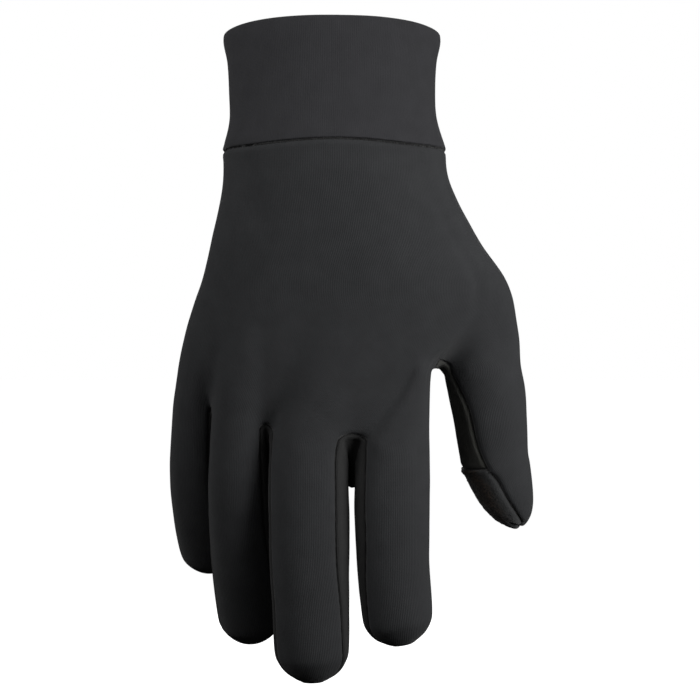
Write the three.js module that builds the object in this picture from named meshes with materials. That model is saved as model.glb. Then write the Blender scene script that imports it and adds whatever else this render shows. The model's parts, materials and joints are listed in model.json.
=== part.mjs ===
import * as THREE from "three";

// A thin knit liner glove for a right hand, held in the form that a hand gives it.
// Lengths are in millimetres. The origin is the centre of the cuff's mouth, +Z points up out of
// the mouth, the back of the hand faces -Y, and the thumb is on the +X side.

// Driving dimensions
const WALL = 1.5; // the knit with its fleece lining
const CUFF_WALL = 2.8; // the cuff's two layers
const CUFF_PROUD = 0.4; // how far the cuff stands out from the body at its seam
const CUFF_LENGTH = 43;
const CUFF_TILT = 8; // degrees, the cuff's top leans away from the back of the hand
const SEAM_GAP = 0.3; // between neighbouring pieces
const SHARPEST_CORNER = 0.6; // limits how far a panel's sharp corner is drawn back for the gap
const WEB_SLOPE = 19; // how much lower a finger's web is on the palm side
const THUMB_WEB_SLOPE = 1.4;
const THUMB_WEB_SAG = 0.5; // how far the thumb's web hangs between the back and the palm
const THUMB_CROTCH = -117.4; // level of the thumb's crotch on the back
const WEB_ARCH = 1.2; // how much higher a web's middle is than its ends, on the back
const BACK_SPREAD = 4; // quads across a digit's back, and across its palm side
const WEB_SPREAD = 2; // quads across a web
const UPPER_ROWS = 9; // from the cuff seam to the thumb's crotch
const LOWER_ROWS = 3; // from there to the fingers' crotches
const SHAFT_ROWS = 5; // along a digit, from its crotch to its rounded tip
const DOME_TURNS = [22.5, 45, 67.5]; // degrees round the tip
const PATCH_ROWS = 4; // the thumb's last rows, which the tip patch covers
const CUFF_BLEND_ROWS = 3; // rows in which the hand takes over from the cuff's section
const RIM_DROP = 1.4; // how much lower the cuff's rim is at its two sides
const RIM_FADE = 12; // the length of the cuff in which that is gone
const CROTCH_FADE = 1.15; // how soon a crotch's slant is gone along the digit, 1 at the dome
const DOME_TAPER = 0.5; // how far the side strips have closed in where the dome starts
const DIRECTION_STEP = 1; // either side, when a centre line's direction is taken

// The webs' levels are eased, so that they run smoothly into the digits
const EASING = { rounds: 2, strength: 0.25, top: -100, bottom: -150 };
// The back is evened out from the index finger's columns to the thumb's, above the thumb's crotch
const EVENING = { rounds: 14, first: 18, last: 27 };

// The cuff's outer half width along its length, from the mouth to the seam
const CUFF = [
  { at: 0, half: 37.8 },
  { at: 4, half: 37.9 },
  { at: 12, half: 36.6 },
  { at: 22, half: 36.0 },
  { at: 32, half: 36.2 },
  { at: 43, half: 39.0 },
];
const CUFF_DEPTH_RATIO = 0.64; // the cuff's depth over its width
const CUFF_SEAM_X = 0.9; // the cuff's centre at its seam
const CUFF_STATIONS = [5, 12, 20, 28, 36, CUFF_LENGTH];
const FOLD_TURNS = [150, 90, 30]; // degrees round the folded rim, from the inside out

// The hand from the cuff seam to the knuckles, a row for each level.
// left and right are the outline, y and half the middle of the hand's thickness,
// little and thumb how far the two edges are set back, and round the section's fullness.
const HAND = [
  { z: -43.0, left: -38.0, right: 39.6, y: -6.0, half: 24.0, little: 0, thumb: 0, round: 2.0 },
  { z: -51.0, left: -37.8, right: 40.3, y: -6.3, half: 22.8, little: 0.5, thumb: 1.5, round: 2.0 },
  { z: -59.5, left: -38.9, right: 43.5, y: -6.5, half: 21.5, little: 1, thumb: 3, round: 2.1 },
  { z: -73.5, left: -42.0, right: 51.4, y: -6.0, half: 19.5, little: 2, thumb: 7, round: 2.2 },
  { z: -87.5, left: -45.2, right: 61.2, y: -4.5, half: 18.0, little: 4, thumb: 11, round: 2.3 },
  { z: -101.5, left: -50.3, right: 65.3, y: -3.0, half: 16.5, little: 7, thumb: 14, round: 2.4 },
  { z: -119.0, left: -54.6, right: 67.1, y: -2.0, half: 14.5, little: 10, thumb: 15, round: 2.5 },
  { z: -140.0, left: -57.4, right: 69.0, y: -1.0, half: 12.5, little: 13, thumb: 16, round: 2.5 },
];
const ARCH_X = -8; // where the back of the hand stands furthest out

// Each digit's centre line from its crotch to its end, with the half width and half depth
const DIGITS = {
  little: [
    { x: -47.9, y: 13.0, z: -133.0, wide: 9.3, deep: 9.8 },
    { x: -47.7, y: 19.5, z: -150.0, wide: 10.4, deep: 10.2 },
    { x: -46.7, y: 29.5, z: -168.0, wide: 10.8, deep: 10.3 },
    { x: -45.0, y: 38.0, z: -180.0, wide: 10.8, deep: 10.1 },
    { x: -42.7, y: 46.5, z: -190.9, wide: 10.8, deep: 10.1 },
  ],
  ring: [
    { x: -32.9, y: 3.0, z: -138.0, wide: 10.4, deep: 11.0 },
    { x: -32.9, y: 8.0, z: -157.0, wide: 10.9, deep: 11.0 },
    { x: -32.0, y: 16.0, z: -178.5, wide: 11.3, deep: 11.0 },
    { x: -30.3, y: 26.5, z: -199.0, wide: 11.5, deep: 10.9 },
    { x: -28.5, y: 37.5, z: -216.1, wide: 11.5, deep: 10.9 },
  ],
  middle: [
    { x: -7.9, y: -1.0, z: -141.0, wide: 13.9, deep: 11.8 },
    { x: -7.9, y: 0.0, z: -164.0, wide: 14.0, deep: 11.8 },
    { x: -7.7, y: 2.0, z: -188.0, wide: 13.8, deep: 11.6 },
    { x: -7.2, y: 5.0, z: -209.0, wide: 13.2, deep: 11.3 },
    { x: -6.8, y: 9.0, z: -229.2, wide: 12.9, deep: 11.2 },
  ],
  index: [
    { x: 21.4, y: 1.0, z: -142.0, wide: 12.9, deep: 11.5 },
    { x: 21.0, y: 1.5, z: -162.0, wide: 13.3, deep: 11.5 },
    { x: 21.4, y: 3.5, z: -184.0, wide: 12.8, deep: 11.2 },
    { x: 22.4, y: 6.0, z: -200.0, wide: 12.5, deep: 11.0 },
    { x: 24.8, y: 9.0, z: -216.0, wide: 12.0, deep: 10.8 },
  ],
  thumb: [
    { x: 53.2, y: 14.0, z: -118.5, wide: 14.7, deep: 12.8 },
    { x: 55.4, y: 16.5, z: -132.0, wide: 14.0, deep: 12.4 },
    { x: 57.0, y: 19.0, z: -145.0, wide: 13.0, deep: 11.8 },
    { x: 60.6, y: 22.0, z: -159.0, wide: 11.1, deep: 10.8 },
    { x: 67.6, y: 26.0, z: -174.7, wide: 10.3, deep: 10.0 },
  ],
};

// Where the seams run round each digit, in degrees from its back towards the thumb's side
const AROUND = {
  little: { leftBack: -60, left: -90, leftPalm: -120, rightBack: 26, right: 55, rightPalm: 100 },
  ring: { leftBack: -92, left: -122, leftPalm: -166, rightBack: 50, right: 81, rightPalm: 122 },
  middle: { leftBack: -78, left: -99, leftPalm: -134, rightBack: 42, right: 88, rightPalm: 128 },
  index: { leftBack: -47, left: -88, leftPalm: -128, rightBack: 60, right: 90, rightPalm: 120 },
  thumb: { leftBack: -26, left: -80, leftPalm: -118, rightBack: 72, right: 100, rightPalm: 132 },
};
const THUMB_CROTCH_SEAM = -60; // where the thumb's inner seam starts round it, at the crotch
const CROTCH_SEAM_FADE = 5; // how soon it has turned away from there
// Each digit's rounded tip: its length, the shares of the shaft where the seams start to turn and
// where the last row starts, the left strip's turn at the end and how many degrees it spreads there
const TIP = {
  little: { dome: 11.3, start: 0.5, cut: 0.8, left: -90, turn: 18 },
  ring: { dome: 12.2, start: 0.5, cut: 0.8, left: -90, turn: 18 },
  middle: { dome: 13.8, start: 0.5, cut: 0.8, left: -90, turn: 18 },
  index: { dome: 12.0, start: 0.5, cut: 0.8, left: -90, turn: 18 },
  thumb: { dome: 22.0, start: 0.8, cut: 0.89, left: -18, turn: 24 },
};
const FINGERS = ["little", "ring", "middle", "index"];
const PRESSED = { little: "ring", ring: "little" };
const PRESS_GAP = 1.2; // what is left between them
const CROTCHES = [-130.5, -133.7, -140.0, -142.8, -141.0]; // from the little side to the index side

const PANELS = {
  back_panel: 0x343537,
  palm_panel: 0x2c2d2f,
  fourchette_ring_little: 0x262729,
  fourchette_middle_ring: 0x262729,
  fourchette_index_middle: 0x262729,
  thumb_inner_panel: 0x26261f,
  thumb_tip_patch: 0x231f1c,
};
const CUFF_COLOUR = 0x323335;

const radians = THREE.MathUtils.degToRad;
const mix = THREE.MathUtils.lerp;
const ease = (t) => THREE.MathUtils.smoothstep(t, 0, 1);
const vector = (x, y, z) => new THREE.Vector3(x, y, z);
const ACROSS = vector(-1, 0, 0);

// A table's value between its rows, on a smooth curve through them
function sample(table, key, at, column) {
  const rising = table[1][key] > table[0][key] ? 1 : -1;
  let i = 0;
  while (i < table.length - 2 && (at - table[i + 1][key]) * rising > 0) i += 1;
  const slope = (k) => {
    const a = table[Math.max(k - 1, 0)];
    const b = table[Math.min(k + 1, table.length - 1)];
    return (b[column] - a[column]) / (b[key] - a[key]);
  };
  const from = table[i];
  const to = table[i + 1];
  const span = to[key] - from[key];
  const t = THREE.MathUtils.clamp((at - from[key]) / span, 0, 1);
  const t2 = t * t;
  const t3 = t2 * t;
  return (
    (2 * t3 - 3 * t2 + 1) * from[column] +
    (t3 - 2 * t2 + t) * span * slope(i) +
    (3 * t2 - 2 * t3) * to[column] +
    (t3 - t2) * span * slope(i + 1)
  );
}

// A digit's centre line, its lengthwise direction and its size, at a distance along it
function digitLine(name) {
  const rows = DIGITS[name];
  let length = 0;
  const table = rows.map((row, i) => {
    const last = rows[Math.max(i - 1, 0)];
    length += Math.hypot(row.x - last.x, row.y - last.y, row.z - last.z);
    return { ...row, along: length };
  });
  const point = (along) =>
    vector(...["x", "y", "z"].map((axis) => sample(table, "along", along, axis)));
  const direction = (along) => {
    const from = Math.max(along - DIRECTION_STEP, 0);
    const to = Math.min(along + DIRECTION_STEP, length);
    return point(to).sub(point(from)).normalize();
  };
  const size = (along, column) => sample(table, "along", along, column);
  return { length, point, direction, size };
}

// Where a digit's left seam runs at a share of its shaft
function crotchSeam(name, share) {
  const seam = AROUND[name].leftBack;
  return name === "thumb" ? mix(seam, THUMB_CROTCH_SEAM, (1 - share) ** CROTCH_SEAM_FADE) : seam;
}

// The twelve turns round a digit: five on its back, its right side, five on its palm, its left side
function digitTurns(name, taper, seam) {
  const around = AROUND[name];
  const { left: leftEnd, turn: narrow } = TIP[name];
  const rightEnd = leftEnd + 180;
  const right = mix(around.right, rightEnd, taper);
  const left = mix(around.left, leftEnd, taper);
  const rightBack = mix(around.rightBack, rightEnd - narrow, taper);
  const leftBack = mix(seam, leftEnd + narrow, taper);
  const rightPalm = mix(around.rightPalm, rightEnd + narrow, taper);
  const leftPalm = mix(around.leftPalm, leftEnd - narrow, taper) + 360;
  const spread = (from, to) =>
    Array.from({ length: BACK_SPREAD + 1 }, (_, i) => mix(from, to, i / BACK_SPREAD));
  return { back: spread(leftBack, rightBack), right, palm: spread(leftPalm, rightPalm), left };
}

// A point on a digit's skin. lower moves it along the digit, as on a slanted crotch.
function digitPoint(line, along, turn, scale, lower) {
  const at = Math.max(along + lower, 0);
  const forward = line.direction(at);
  const out = vector(0, -1, 0).addScaledVector(forward, forward.y).normalize();
  const across = vector().crossVectors(out, forward).normalize();
  if (across.x < 0) across.negate();
  const angle = radians(turn);
  return line
    .point(at)
    .addScaledVector(across, Math.sin(angle) * line.size(at, "wide") * scale)
    .addScaledVector(out, Math.cos(angle) * line.size(at, "deep") * scale)
    .addScaledVector(forward, along + lower - at);
}

// The ring and little fingers press flat against each other, where they would cross
function pressFlat(name, point) {
  const other = PRESSED[name];
  if (!other) return point;
  const across = (axis) =>
    sample(DIGITS[other], "z", point.z, axis) - sample(DIGITS[name], "z", point.z, axis);
  const toward = vector(across("x"), across("y"), 0);
  const limit = (toward.length() - PRESS_GAP) / 2;
  toward.normalize();
  const from = (axis) => point[axis] - sample(DIGITS[name], "z", point.z, axis);
  const beyond = from("x") * toward.x + from("y") * toward.y - limit;
  return point.addScaledVector(toward, -Math.max(beyond, 0));
}

// One ring of skin points round a digit
function digitRing(name, line, along, scale, lowers, taper, seam) {
  const turns = digitTurns(name, taper, seam);
  const at = (turn, lower) => pressFlat(name, digitPoint(line, along, turn, scale, lower));
  return {
    back: turns.back.map((turn, i) => at(turn, lowers.back[i])),
    right: at(turns.right, lowers.right),
    palm: turns.palm.map((turn, i) => at(turn, lowers.palm[i])),
    left: at(turns.left, lowers.left),
  };
}

// How far each point of a digit's first ring lies below the ring's centre
function crotchLowers(line, levels, slope) {
  const centre = line.point(0).z;
  const drop = (level, share) => centre - level + slope * share;
  const spread = (share) =>
    Array.from({ length: BACK_SPREAD + 1 }, (_, i) =>
      drop(mix(levels.left, levels.right, i / BACK_SPREAD), share),
    );
  return {
    back: spread(0),
    right: drop(levels.right, 0.5),
    palm: spread(1),
    left: drop(levels.left, 0.5),
  };
}

const scaleLowers = (lowers, share) => ({
  back: lowers.back.map((lower) => lower * share),
  right: lowers.right * share,
  palm: lowers.palm.map((lower) => lower * share),
  left: lowers.left * share,
});

// The cage: the glove's outer skin as quads, each with the panel that it belongs to
const skin = { points: [], quads: [] };

function addPoint(point) {
  skin.points.push(point);
  return skin.points.length - 1;
}

function addQuad(panel, a, b, c, d) {
  skin.quads.push({ panel, corners: [a, b, c, d] });
}

const mapRing = (ring) => ({
  back: ring.back.map(addPoint),
  right: addPoint(ring.right),
  palm: ring.palm.map(addPoint),
  left: addPoint(ring.left),
});

// Quads between two rings, given as lists that run the same way round
function addBand(panels, upper, lower) {
  for (let i = 0; i < panels.length; i += 1)
    addQuad(panels[i], upper[i], lower[i], lower[i + 1], upper[i + 1]);
}

// The rest of a digit below its first ring
function addDigit(name, first, panels, lowers) {
  const line = digitLine(name);
  const { dome, start, cut } = TIP[name];
  const shaft = line.length - dome;
  const rings = [first];
  for (let i = 1; i <= SHAFT_ROWS; i += 1) {
    const share = i < SHAFT_ROWS ? (cut * i) / (SHAFT_ROWS - 1) : 1;
    const slack = scaleLowers(lowers, 1 - ease(share * CROTCH_FADE));
    const taper = ease((share - start) / (1 - start)) * DOME_TAPER;
    const ring = digitRing(name, line, shaft * share, 1, slack, taper, crotchSeam(name, share));
    rings.push(mapRing(ring));
  }
  const level = scaleLowers(lowers, 0);
  for (const turn of DOME_TURNS) {
    const along = shaft + dome * Math.sin(radians(turn));
    const taper = mix(DOME_TAPER, 1, turn / DOME_TURNS.at(-1));
    const scale = Math.cos(radians(turn));
    rings.push(mapRing(digitRing(name, line, along, scale, level, taper, crotchSeam(name, 1))));
  }
  for (let i = 1; i < rings.length; i += 1) {
    const [up, down] = [rings[i - 1], rings[i]];
    const last = i > rings.length - 1 - PATCH_ROWS;
    const side = (which) => (last && panels.patch && which === "left" ? panels.patch : panels[which]);
    const palm = last && panels.patch ? panels.patch : panels.palm;
    addBand(Array(BACK_SPREAD).fill("back_panel"), up.back, down.back);
    addBand(
      Array(2).fill(side("right")),
      [up.back.at(-1), up.right, up.palm.at(-1)],
      [down.back.at(-1), down.right, down.palm.at(-1)],
    );
    addBand(Array(BACK_SPREAD).fill(palm), [...up.palm].reverse(), [...down.palm].reverse());
    addBand(
      Array(2).fill(side("left")),
      [up.palm[0], up.left, up.back[0]],
      [down.palm[0], down.left, down.back[0]],
    );
  }
  const end = rings.at(-1);
  const ends = end.back.map((id, i) => {
    if (i === 0) return end.left;
    if (i === BACK_SPREAD) return end.right;
    const middle = skin.points[end.left].clone().lerp(skin.points[end.right], i / BACK_SPREAD);
    const reach = dome * (1 - Math.sin(radians(DOME_TURNS.at(-1))));
    const fall = 1 - ((2 * i) / BACK_SPREAD - 1) ** 2 / 2;
    return addPoint(middle.addScaledVector(line.direction(line.length), reach * fall));
  });
  addBand(Array(BACK_SPREAD).fill("back_panel"), end.back, ends);
  addBand(Array(BACK_SPREAD).fill(panels.patch ?? panels.palm), ends, end.palm);
}

// The hand's section at one level: x from the outline, y from the middle of the thickness
function handPoint(turn, z) {
  const row = (column) => sample(HAND, "z", z, column);
  const left = row("left");
  const right = row("right");
  const fullness = 2 / row("round");
  const sine = Math.sin(turn);
  const cosine = Math.cos(turn);
  const x = (left + right) / 2 + ((right - left) / 2) * Math.sign(sine) * Math.abs(sine) ** fullness;
  const littleShare = Math.max(0, (ARCH_X - x) / (ARCH_X - left));
  const thumbShare = Math.max(0, (x - ARCH_X) / (right - ARCH_X));
  const middle = row("y") + row("little") * littleShare ** 2 + row("thumb") * thumbShare ** 2;
  const y = middle - row("half") * Math.sign(cosine) * Math.abs(cosine) ** fullness;
  return vector(x, y, z);
}

// The cuff's section: an ellipse square to the cuff's own axis
function cuffPoint(turn, at, outward) {
  const half = sample(CUFF, "at", at, "half") + outward;
  const depth = sample(CUFF, "at", at, "half") * CUFF_DEPTH_RATIO + outward;
  const x = Math.sin(turn) * half + CUFF_SEAM_X * ease(at / CUFF_LENGTH) ** 3;
  const z = -at - RIM_DROP * Math.sin(turn) ** 4 * (1 - ease(at / RIM_FADE));
  return vector(x, -Math.cos(turn) * depth, z).applyAxisAngle(ACROSS, radians(CUFF_TILT));
}

// Columns of the hand's sheet: each digit's back, with the webs between
const STARTS = Object.fromEntries(
  [...FINGERS, "thumb"].map((name, i) => [name, i * (BACK_SPREAD + WEB_SPREAD)]),
);
const HAND_COLUMNS = STARTS.thumb + BACK_SPREAD;
const INDEX_END = STARTS.index + BACK_SPREAD;
const EDGE_TURN = 90 - 180 / (HAND_COLUMNS + 2);

const columnTurn = (column) =>
  radians(mix(-EDGE_TURN, EDGE_TURN, column / HAND_COLUMNS));

// The digit that a column belongs to, or the two that a web's column lies between
function columnDigits(column) {
  const names = [...FINGERS, "thumb"];
  const place = column % (BACK_SPREAD + WEB_SPREAD);
  const which = Math.floor(column / (BACK_SPREAD + WEB_SPREAD));
  return place <= BACK_SPREAD ? [names[which]] : [names[which], names[which + 1]];
}

// The digits' first rings
const LINES = Object.fromEntries(Object.keys(DIGITS).map((name) => [name, digitLine(name)]));
const LOWERS = Object.fromEntries(
  FINGERS.map((name, i) => [
    name,
    crotchLowers(LINES[name], { left: CROTCHES[i], right: CROTCHES[i + 1] }, WEB_SLOPE),
  ]),
);
LOWERS.thumb = crotchLowers(
  LINES.thumb,
  { left: THUMB_CROTCH, right: THUMB_CROTCH },
  THUMB_WEB_SLOPE,
);
const FIRST = Object.fromEntries(
  Object.entries(LINES).map(([name, line]) => [
    name,
    digitRing(name, line, 0, 1, LOWERS[name], 0, crotchSeam(name, 0)),
  ]),
);

// Where a column's digit would have the point, carried straight up to a level
function rayPoint(face, column, z) {
  const digits = columnDigits(column);
  const points = digits.map((name, i) => {
    const places = digits.length === 1 ? column - STARTS[name] : i === 0 ? BACK_SPREAD : 0;
    const foot = FIRST[name][face][places];
    const forward = LINES[name].direction(0);
    return foot.clone().addScaledVector(forward, (z - foot.z) / forward.z);
  });
  return points.length === 1 ? points[0] : points[0].lerp(points[1], 0.5);
}

function sidePoint(name, face, z) {
  const foot = FIRST[name][face];
  const forward = LINES[name].direction(0);
  return foot.clone().addScaledVector(forward, (z - foot.z) / forward.z);
}

// Level of a column at the thumb's crotch and at the fingers' crotches
const upperLevel = (share) => THUMB_CROTCH - THUMB_WEB_SLOPE * share;
function lowerLevel(column, share) {
  const digit = Math.min(column / (BACK_SPREAD + WEB_SPREAD), FINGERS.length);
  const which = Math.min(Math.floor(digit), FINGERS.length - 1);
  const level = mix(CROTCHES[which], CROTCHES[which + 1], Math.min(digit - which, 1));
  return level - WEB_SLOPE * share;
}

// A web's middle column is higher on the back
const webArch = (column, share) =>
  column % (BACK_SPREAD + WEB_SPREAD) > BACK_SPREAD ? WEB_ARCH * (1 - share) : 0;

const TOTAL_ROWS = UPPER_ROWS + LOWER_ROWS;
const fingerWeight = (row) => (row / TOTAL_ROWS) ** 4;
const thumbWeight = (row) => Math.min(row / UPPER_ROWS, 1) ** 5;

function rowLevel(row, column, share, start) {
  const arch = webArch(column, share);
  const upper = upperLevel(share) + (column > INDEX_END ? arch : 0);
  if (row <= UPPER_ROWS) return mix(start, upper, row / UPPER_ROWS);
  return mix(upper, lowerLevel(column, share) + arch, (row - UPPER_ROWS) / LOWER_ROWS);
}

function columnWeight(row, column) {
  const share = THREE.MathUtils.clamp((column - STARTS.index) / BACK_SPREAD, 0, 1);
  return mix(fingerWeight(row), thumbWeight(row), share);
}

// One row of the hand's sheet, round the whole hand or, below the thumb, round the fingers
function handRow(row) {
  const columns = row <= UPPER_ROWS ? HAND_COLUMNS : INDEX_END;
  const cuffAt = CUFF_LENGTH + SEAM_GAP;
  const place = (turn, column, share, ray) => {
    const start = cuffPoint(turn, cuffAt, -CUFF_PROUD);
    if (row === 0) return start;
    const z = rowLevel(row, column, share, start.z);
    const fromCuff = Math.max(0, 1 - row / CUFF_BLEND_ROWS);
    const base = handPoint(turn, z);
    base.lerp(vector(start.x + (base.x - handPoint(turn, start.z).x), start.y, z), fromCuff ** 2);
    return base.lerp(ray(z), columnWeight(row, column));
  };
  const face = (name, share, flip) =>
    Array.from({ length: columns + 1 }, (_, column) =>
      place(flip(columnTurn(column)), column, share, (z) => rayPoint(name, column, z)),
    );
  const back = face("back", 0, (turn) => turn);
  const palm = face("palm", 1, (turn) => Math.PI - turn);
  const left = place(-Math.PI / 2, 0, 0.5, (z) => sidePoint("little", "left", z));
  const rightDigit = row <= UPPER_ROWS ? "thumb" : "index";
  const right = place(Math.PI / 2, columns, 0.5, (z) => sidePoint(rightDigit, "right", z));
  if (row < UPPER_ROWS) evenOut(back);
  return fitOutline({ back, right, palm, left }, row);
}

// Draws the back's points level with their neighbours, between the index finger and the thumb
function evenOut(back) {
  for (let round = 0; round < EVENING.rounds; round += 1) {
    const depths = back.map((point) => point.y);
    for (let i = EVENING.first; i <= EVENING.last; i += 1)
      back[i].y = (depths[i - 1] + 2 * depths[i] + depths[i + 1]) / 4;
  }
}

// Moves a row's points sideways, so that the row's edges lie on the outline
function fitOutline(ring, row) {
  if (row === 0) return ring;
  const all = [...ring.back, ring.right, ...ring.palm, ring.left];
  const low = Math.min(...all.map((point) => point.x));
  const high = Math.max(...all.map((point) => point.x));
  for (const point of all) {
    const share = (point.x - low) / (high - low);
    const left = sample(HAND, "z", point.z, "left");
    const right = row <= UPPER_ROWS ? sample(HAND, "z", point.z, "right") : high;
    point.x = mix(left, right, share);
  }
  return ring;
}

function buildSkin() {
  const rows = Array.from({ length: TOTAL_ROWS + 1 }, (_, row) => mapRing(handRow(row)));
  const crotchRow = rows[UPPER_ROWS]; // the thumb's crotch
  const lastRow = rows[TOTAL_ROWS];

  // The thumb's saddle, between its inner side and the index finger's side
  const webLevel = upperLevel(0.5) - THUMB_WEB_SAG;
  const thumbLeft = addPoint(sidePoint("thumb", "left", webLevel));
  const indexRight = addPoint(sidePoint("index", "right", webLevel));
  const middle = addPoint(skin.points[indexRight].clone().lerp(skin.points[thumbLeft], 0.5));
  const thumb = {
    back: crotchRow.back.slice(STARTS.thumb),
    right: crotchRow.right,
    palm: crotchRow.palm.slice(STARTS.thumb),
    left: thumbLeft,
  };

  for (let row = 1; row <= TOTAL_ROWS; row += 1) {
    const up = rows[row - 1];
    const down = rows[row];
    const whole = row <= UPPER_ROWS;
    const columns = whole ? HAND_COLUMNS : INDEX_END;
    const cut = (list) => list.slice(0, columns + 1);
    const upRight = row === UPPER_ROWS + 1 ? indexRight : up.right;
    addBand(Array(columns).fill("back_panel"), cut(up.back), cut(down.back));
    addBand(
      Array(columns).fill("palm_panel"),
      cut(up.palm).reverse(),
      cut(down.palm).reverse(),
    );
    addBand(
      Array(2).fill("back_panel"),
      [up.back[columns], upRight, up.palm[columns]],
      [down.back[columns], down.right, down.palm[columns]],
    );
    addBand(
      Array(2).fill("back_panel"),
      [up.palm[0], up.left, up.back[0]],
      [down.palm[0], down.left, down.back[0]],
    );
  }
  addSaddle(crotchRow, INDEX_END, [indexRight, middle, thumbLeft], ["back_panel", "thumb_inner_panel"]);

  const names = ["fourchette_ring_little", "fourchette_middle_ring", "fourchette_index_middle"];
  const sides = FINGERS.map(() => ({}));
  FINGERS.forEach((name, i) => {
    const outermost = i === FINGERS.length - 1;
    sides[i].left = i === 0 ? lastRow.left : addPoint(FIRST[name].left.clone());
    sides[i].right = outermost ? lastRow.right : addPoint(FIRST[name].right.clone());
  });
  names.forEach((panel, i) => {
    const [from, to] = [sides[i].right, sides[i + 1].left];
    const between = addPoint(skin.points[from].clone().lerp(skin.points[to], 0.5));
    const column = STARTS[FINGERS[i]] + BACK_SPREAD;
    addSaddle(lastRow, column, [from, between, to], [panel, panel]);
  });
  FINGERS.forEach((name, i) => {
    const start = STARTS[name];
    const end = start + BACK_SPREAD + 1;
    const ring = {
      back: lastRow.back.slice(start, end),
      palm: lastRow.palm.slice(start, end),
      ...sides[i],
    };
    const panels = {
      palm: "palm_panel",
      left: i === 0 ? "back_panel" : names[i - 1],
      right: i === FINGERS.length - 1 ? "back_panel" : names[i],
    };
    addDigit(name, ring, panels, LOWERS[name]);
  });
  const inner = "thumb_inner_panel";
  const thumbPanels = { palm: inner, left: inner, right: "back_panel", patch: "thumb_tip_patch" };
  addDigit("thumb", thumb, thumbPanels, LOWERS.thumb);
}

// A web's four quads, through the hand from the back to the palm
function addSaddle(ring, column, middles, panels) {
  for (let i = 0; i < WEB_SPREAD; i += 1) {
    const [a, b] = [column + i, column + i + 1];
    addQuad(panels[i], ring.back[a], middles[i], middles[i + 1], ring.back[b]);
    addQuad(panels[i], middles[i], ring.palm[a], ring.palm[b], middles[i + 1]);
  }
}

// Moves points towards the average of their neighbours, where webs and digits meet
function easeSkin() {
  const neighbours = skin.points.map(() => new Set());
  for (const { corners } of skin.quads)
    corners.forEach((id, i) => {
      neighbours[id].add(corners[(i + 1) % 4]);
      neighbours[id].add(corners[(i + 3) % 4]);
    });
  for (let round = 0; round < EASING.rounds; round += 1) {
    const next = skin.points.map((point, id) => {
      if (point.z > EASING.top || point.z < EASING.bottom) return point;
      const mean = vector(0, 0, 0);
      for (const other of neighbours[id]) mean.add(skin.points[other]);
      return point.clone().lerp(mean.divideScalar(neighbours[id].size), EASING.strength);
    });
    next.forEach((point, id) => skin.points[id].copy(point));
  }
}

// Directions out of the skin, in which small faces at a seam count as much as large ones
function skinNormals() {
  const normals = skin.points.map(() => vector(0, 0, 0));
  for (const { corners } of skin.quads) {
    const [a, b, c, d] = corners.map((id) => skin.points[id]);
    const normal = c.clone().sub(a).cross(d.clone().sub(b)).normalize();
    corners.forEach((id) => normals[id].add(normal));
  }
  return normals.map((normal) => normal.normalize());
}

// One panel as a closed wall: the outer skin, the inner skin and the cut edge between them
function panelGeometry(panel, normals) {
  const quads = skin.quads.filter((quad) => quad.panel === panel).map((quad) => quad.corners);
  const edges = new Map();
  for (const corners of quads)
    corners.forEach((a, i) => {
      const b = corners[(i + 1) % 4];
      const back = b + "-" + a;
      if (edges.has(back)) edges.delete(back);
      else edges.set(a + "-" + b, [a, b]);
    });
  const border = new Map();
  for (const [a, b] of edges.values()) {
    const along = skin.points[b].clone().sub(skin.points[a]);
    for (const id of [a, b]) {
      if (!border.has(id)) border.set(id, vector(0, 0, 0));
      border.get(id).add(normals[id].clone().cross(along).normalize());
    }
  }
  for (const inward of border.values()) {
    const spread = Math.max(inward.length(), SHARPEST_CORNER);
    inward.multiplyScalar(SEAM_GAP / spread ** 2);
  }
  const positions = [];
  const ids = new Map();
  const place = (id, layer) => {
    const key = id + layer;
    if (!ids.has(key)) {
      const point = skin.points[id].clone();
      if (layer === "inner") point.addScaledVector(normals[id], -WALL);
      if (border.has(id)) point.add(border.get(id));
      ids.set(key, positions.length / 3);
      positions.push(point.x, point.y, point.z);
    }
    return ids.get(key);
  };
  const index = [];
  const face = (a, b, c, d) => index.push(a, b, c, a, c, d);
  for (const corners of quads) {
    const outer = corners.map((id) => place(id, "outer"));
    const inner = corners.map((id) => place(id, "inner"));
    face(...outer);
    index.push(inner[0], inner[2], inner[1], inner[0], inner[3], inner[2]);
  }
  for (const [a, b] of edges.values()) {
    const around = [place(b, "outer"), place(a, "outer"), place(a, "inner"), place(b, "inner")];
    if (a > b) around.push(around.shift()); // so that both neighbours split the cut edge alike
    face(...around);
  }
  return meshGeometry(positions, index);
}

function meshGeometry(positions, index) {
  const geometry = new THREE.BufferGeometry();
  geometry.setAttribute("position", new THREE.Float32BufferAttribute(positions, 3));
  geometry.setIndex(index);
  geometry.computeVertexNormals();
  return geometry;
}

// The cuff: down the outside, round the lower edge, up the inside and over the folded rim
function cuffGeometry() {
  const steps = 2 * (HAND_COLUMNS + 2);
  const profile = [
    ...CUFF_STATIONS.map((at) => ({ at, outward: 0 })),
    ...CUFF_STATIONS.toReversed().map((at) => ({ at, outward: -CUFF_WALL })),
    ...FOLD_TURNS.map((turn) => ({
      at: (1 - Math.sin(radians(turn))) * (CUFF_WALL / 2),
      outward: (Math.cos(radians(turn)) - 1) * (CUFF_WALL / 2),
    })),
  ];
  const positions = [];
  for (let step = 0; step < steps; step += 1)
    for (const { at, outward } of profile)
      positions.push(...cuffPoint((step / steps) * 2 * Math.PI, at, outward).toArray());
  const index = [];
  const count = profile.length;
  for (let step = 0; step < steps; step += 1)
    for (let i = 0; i < count; i += 1) {
      const [here, next] = [step * count, ((step + 1) % steps) * count];
      const j = (i + 1) % count;
      index.push(here + i, here + j, next + j, here + i, next + j, next + i);
    }
  return meshGeometry(positions, index);
}

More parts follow.
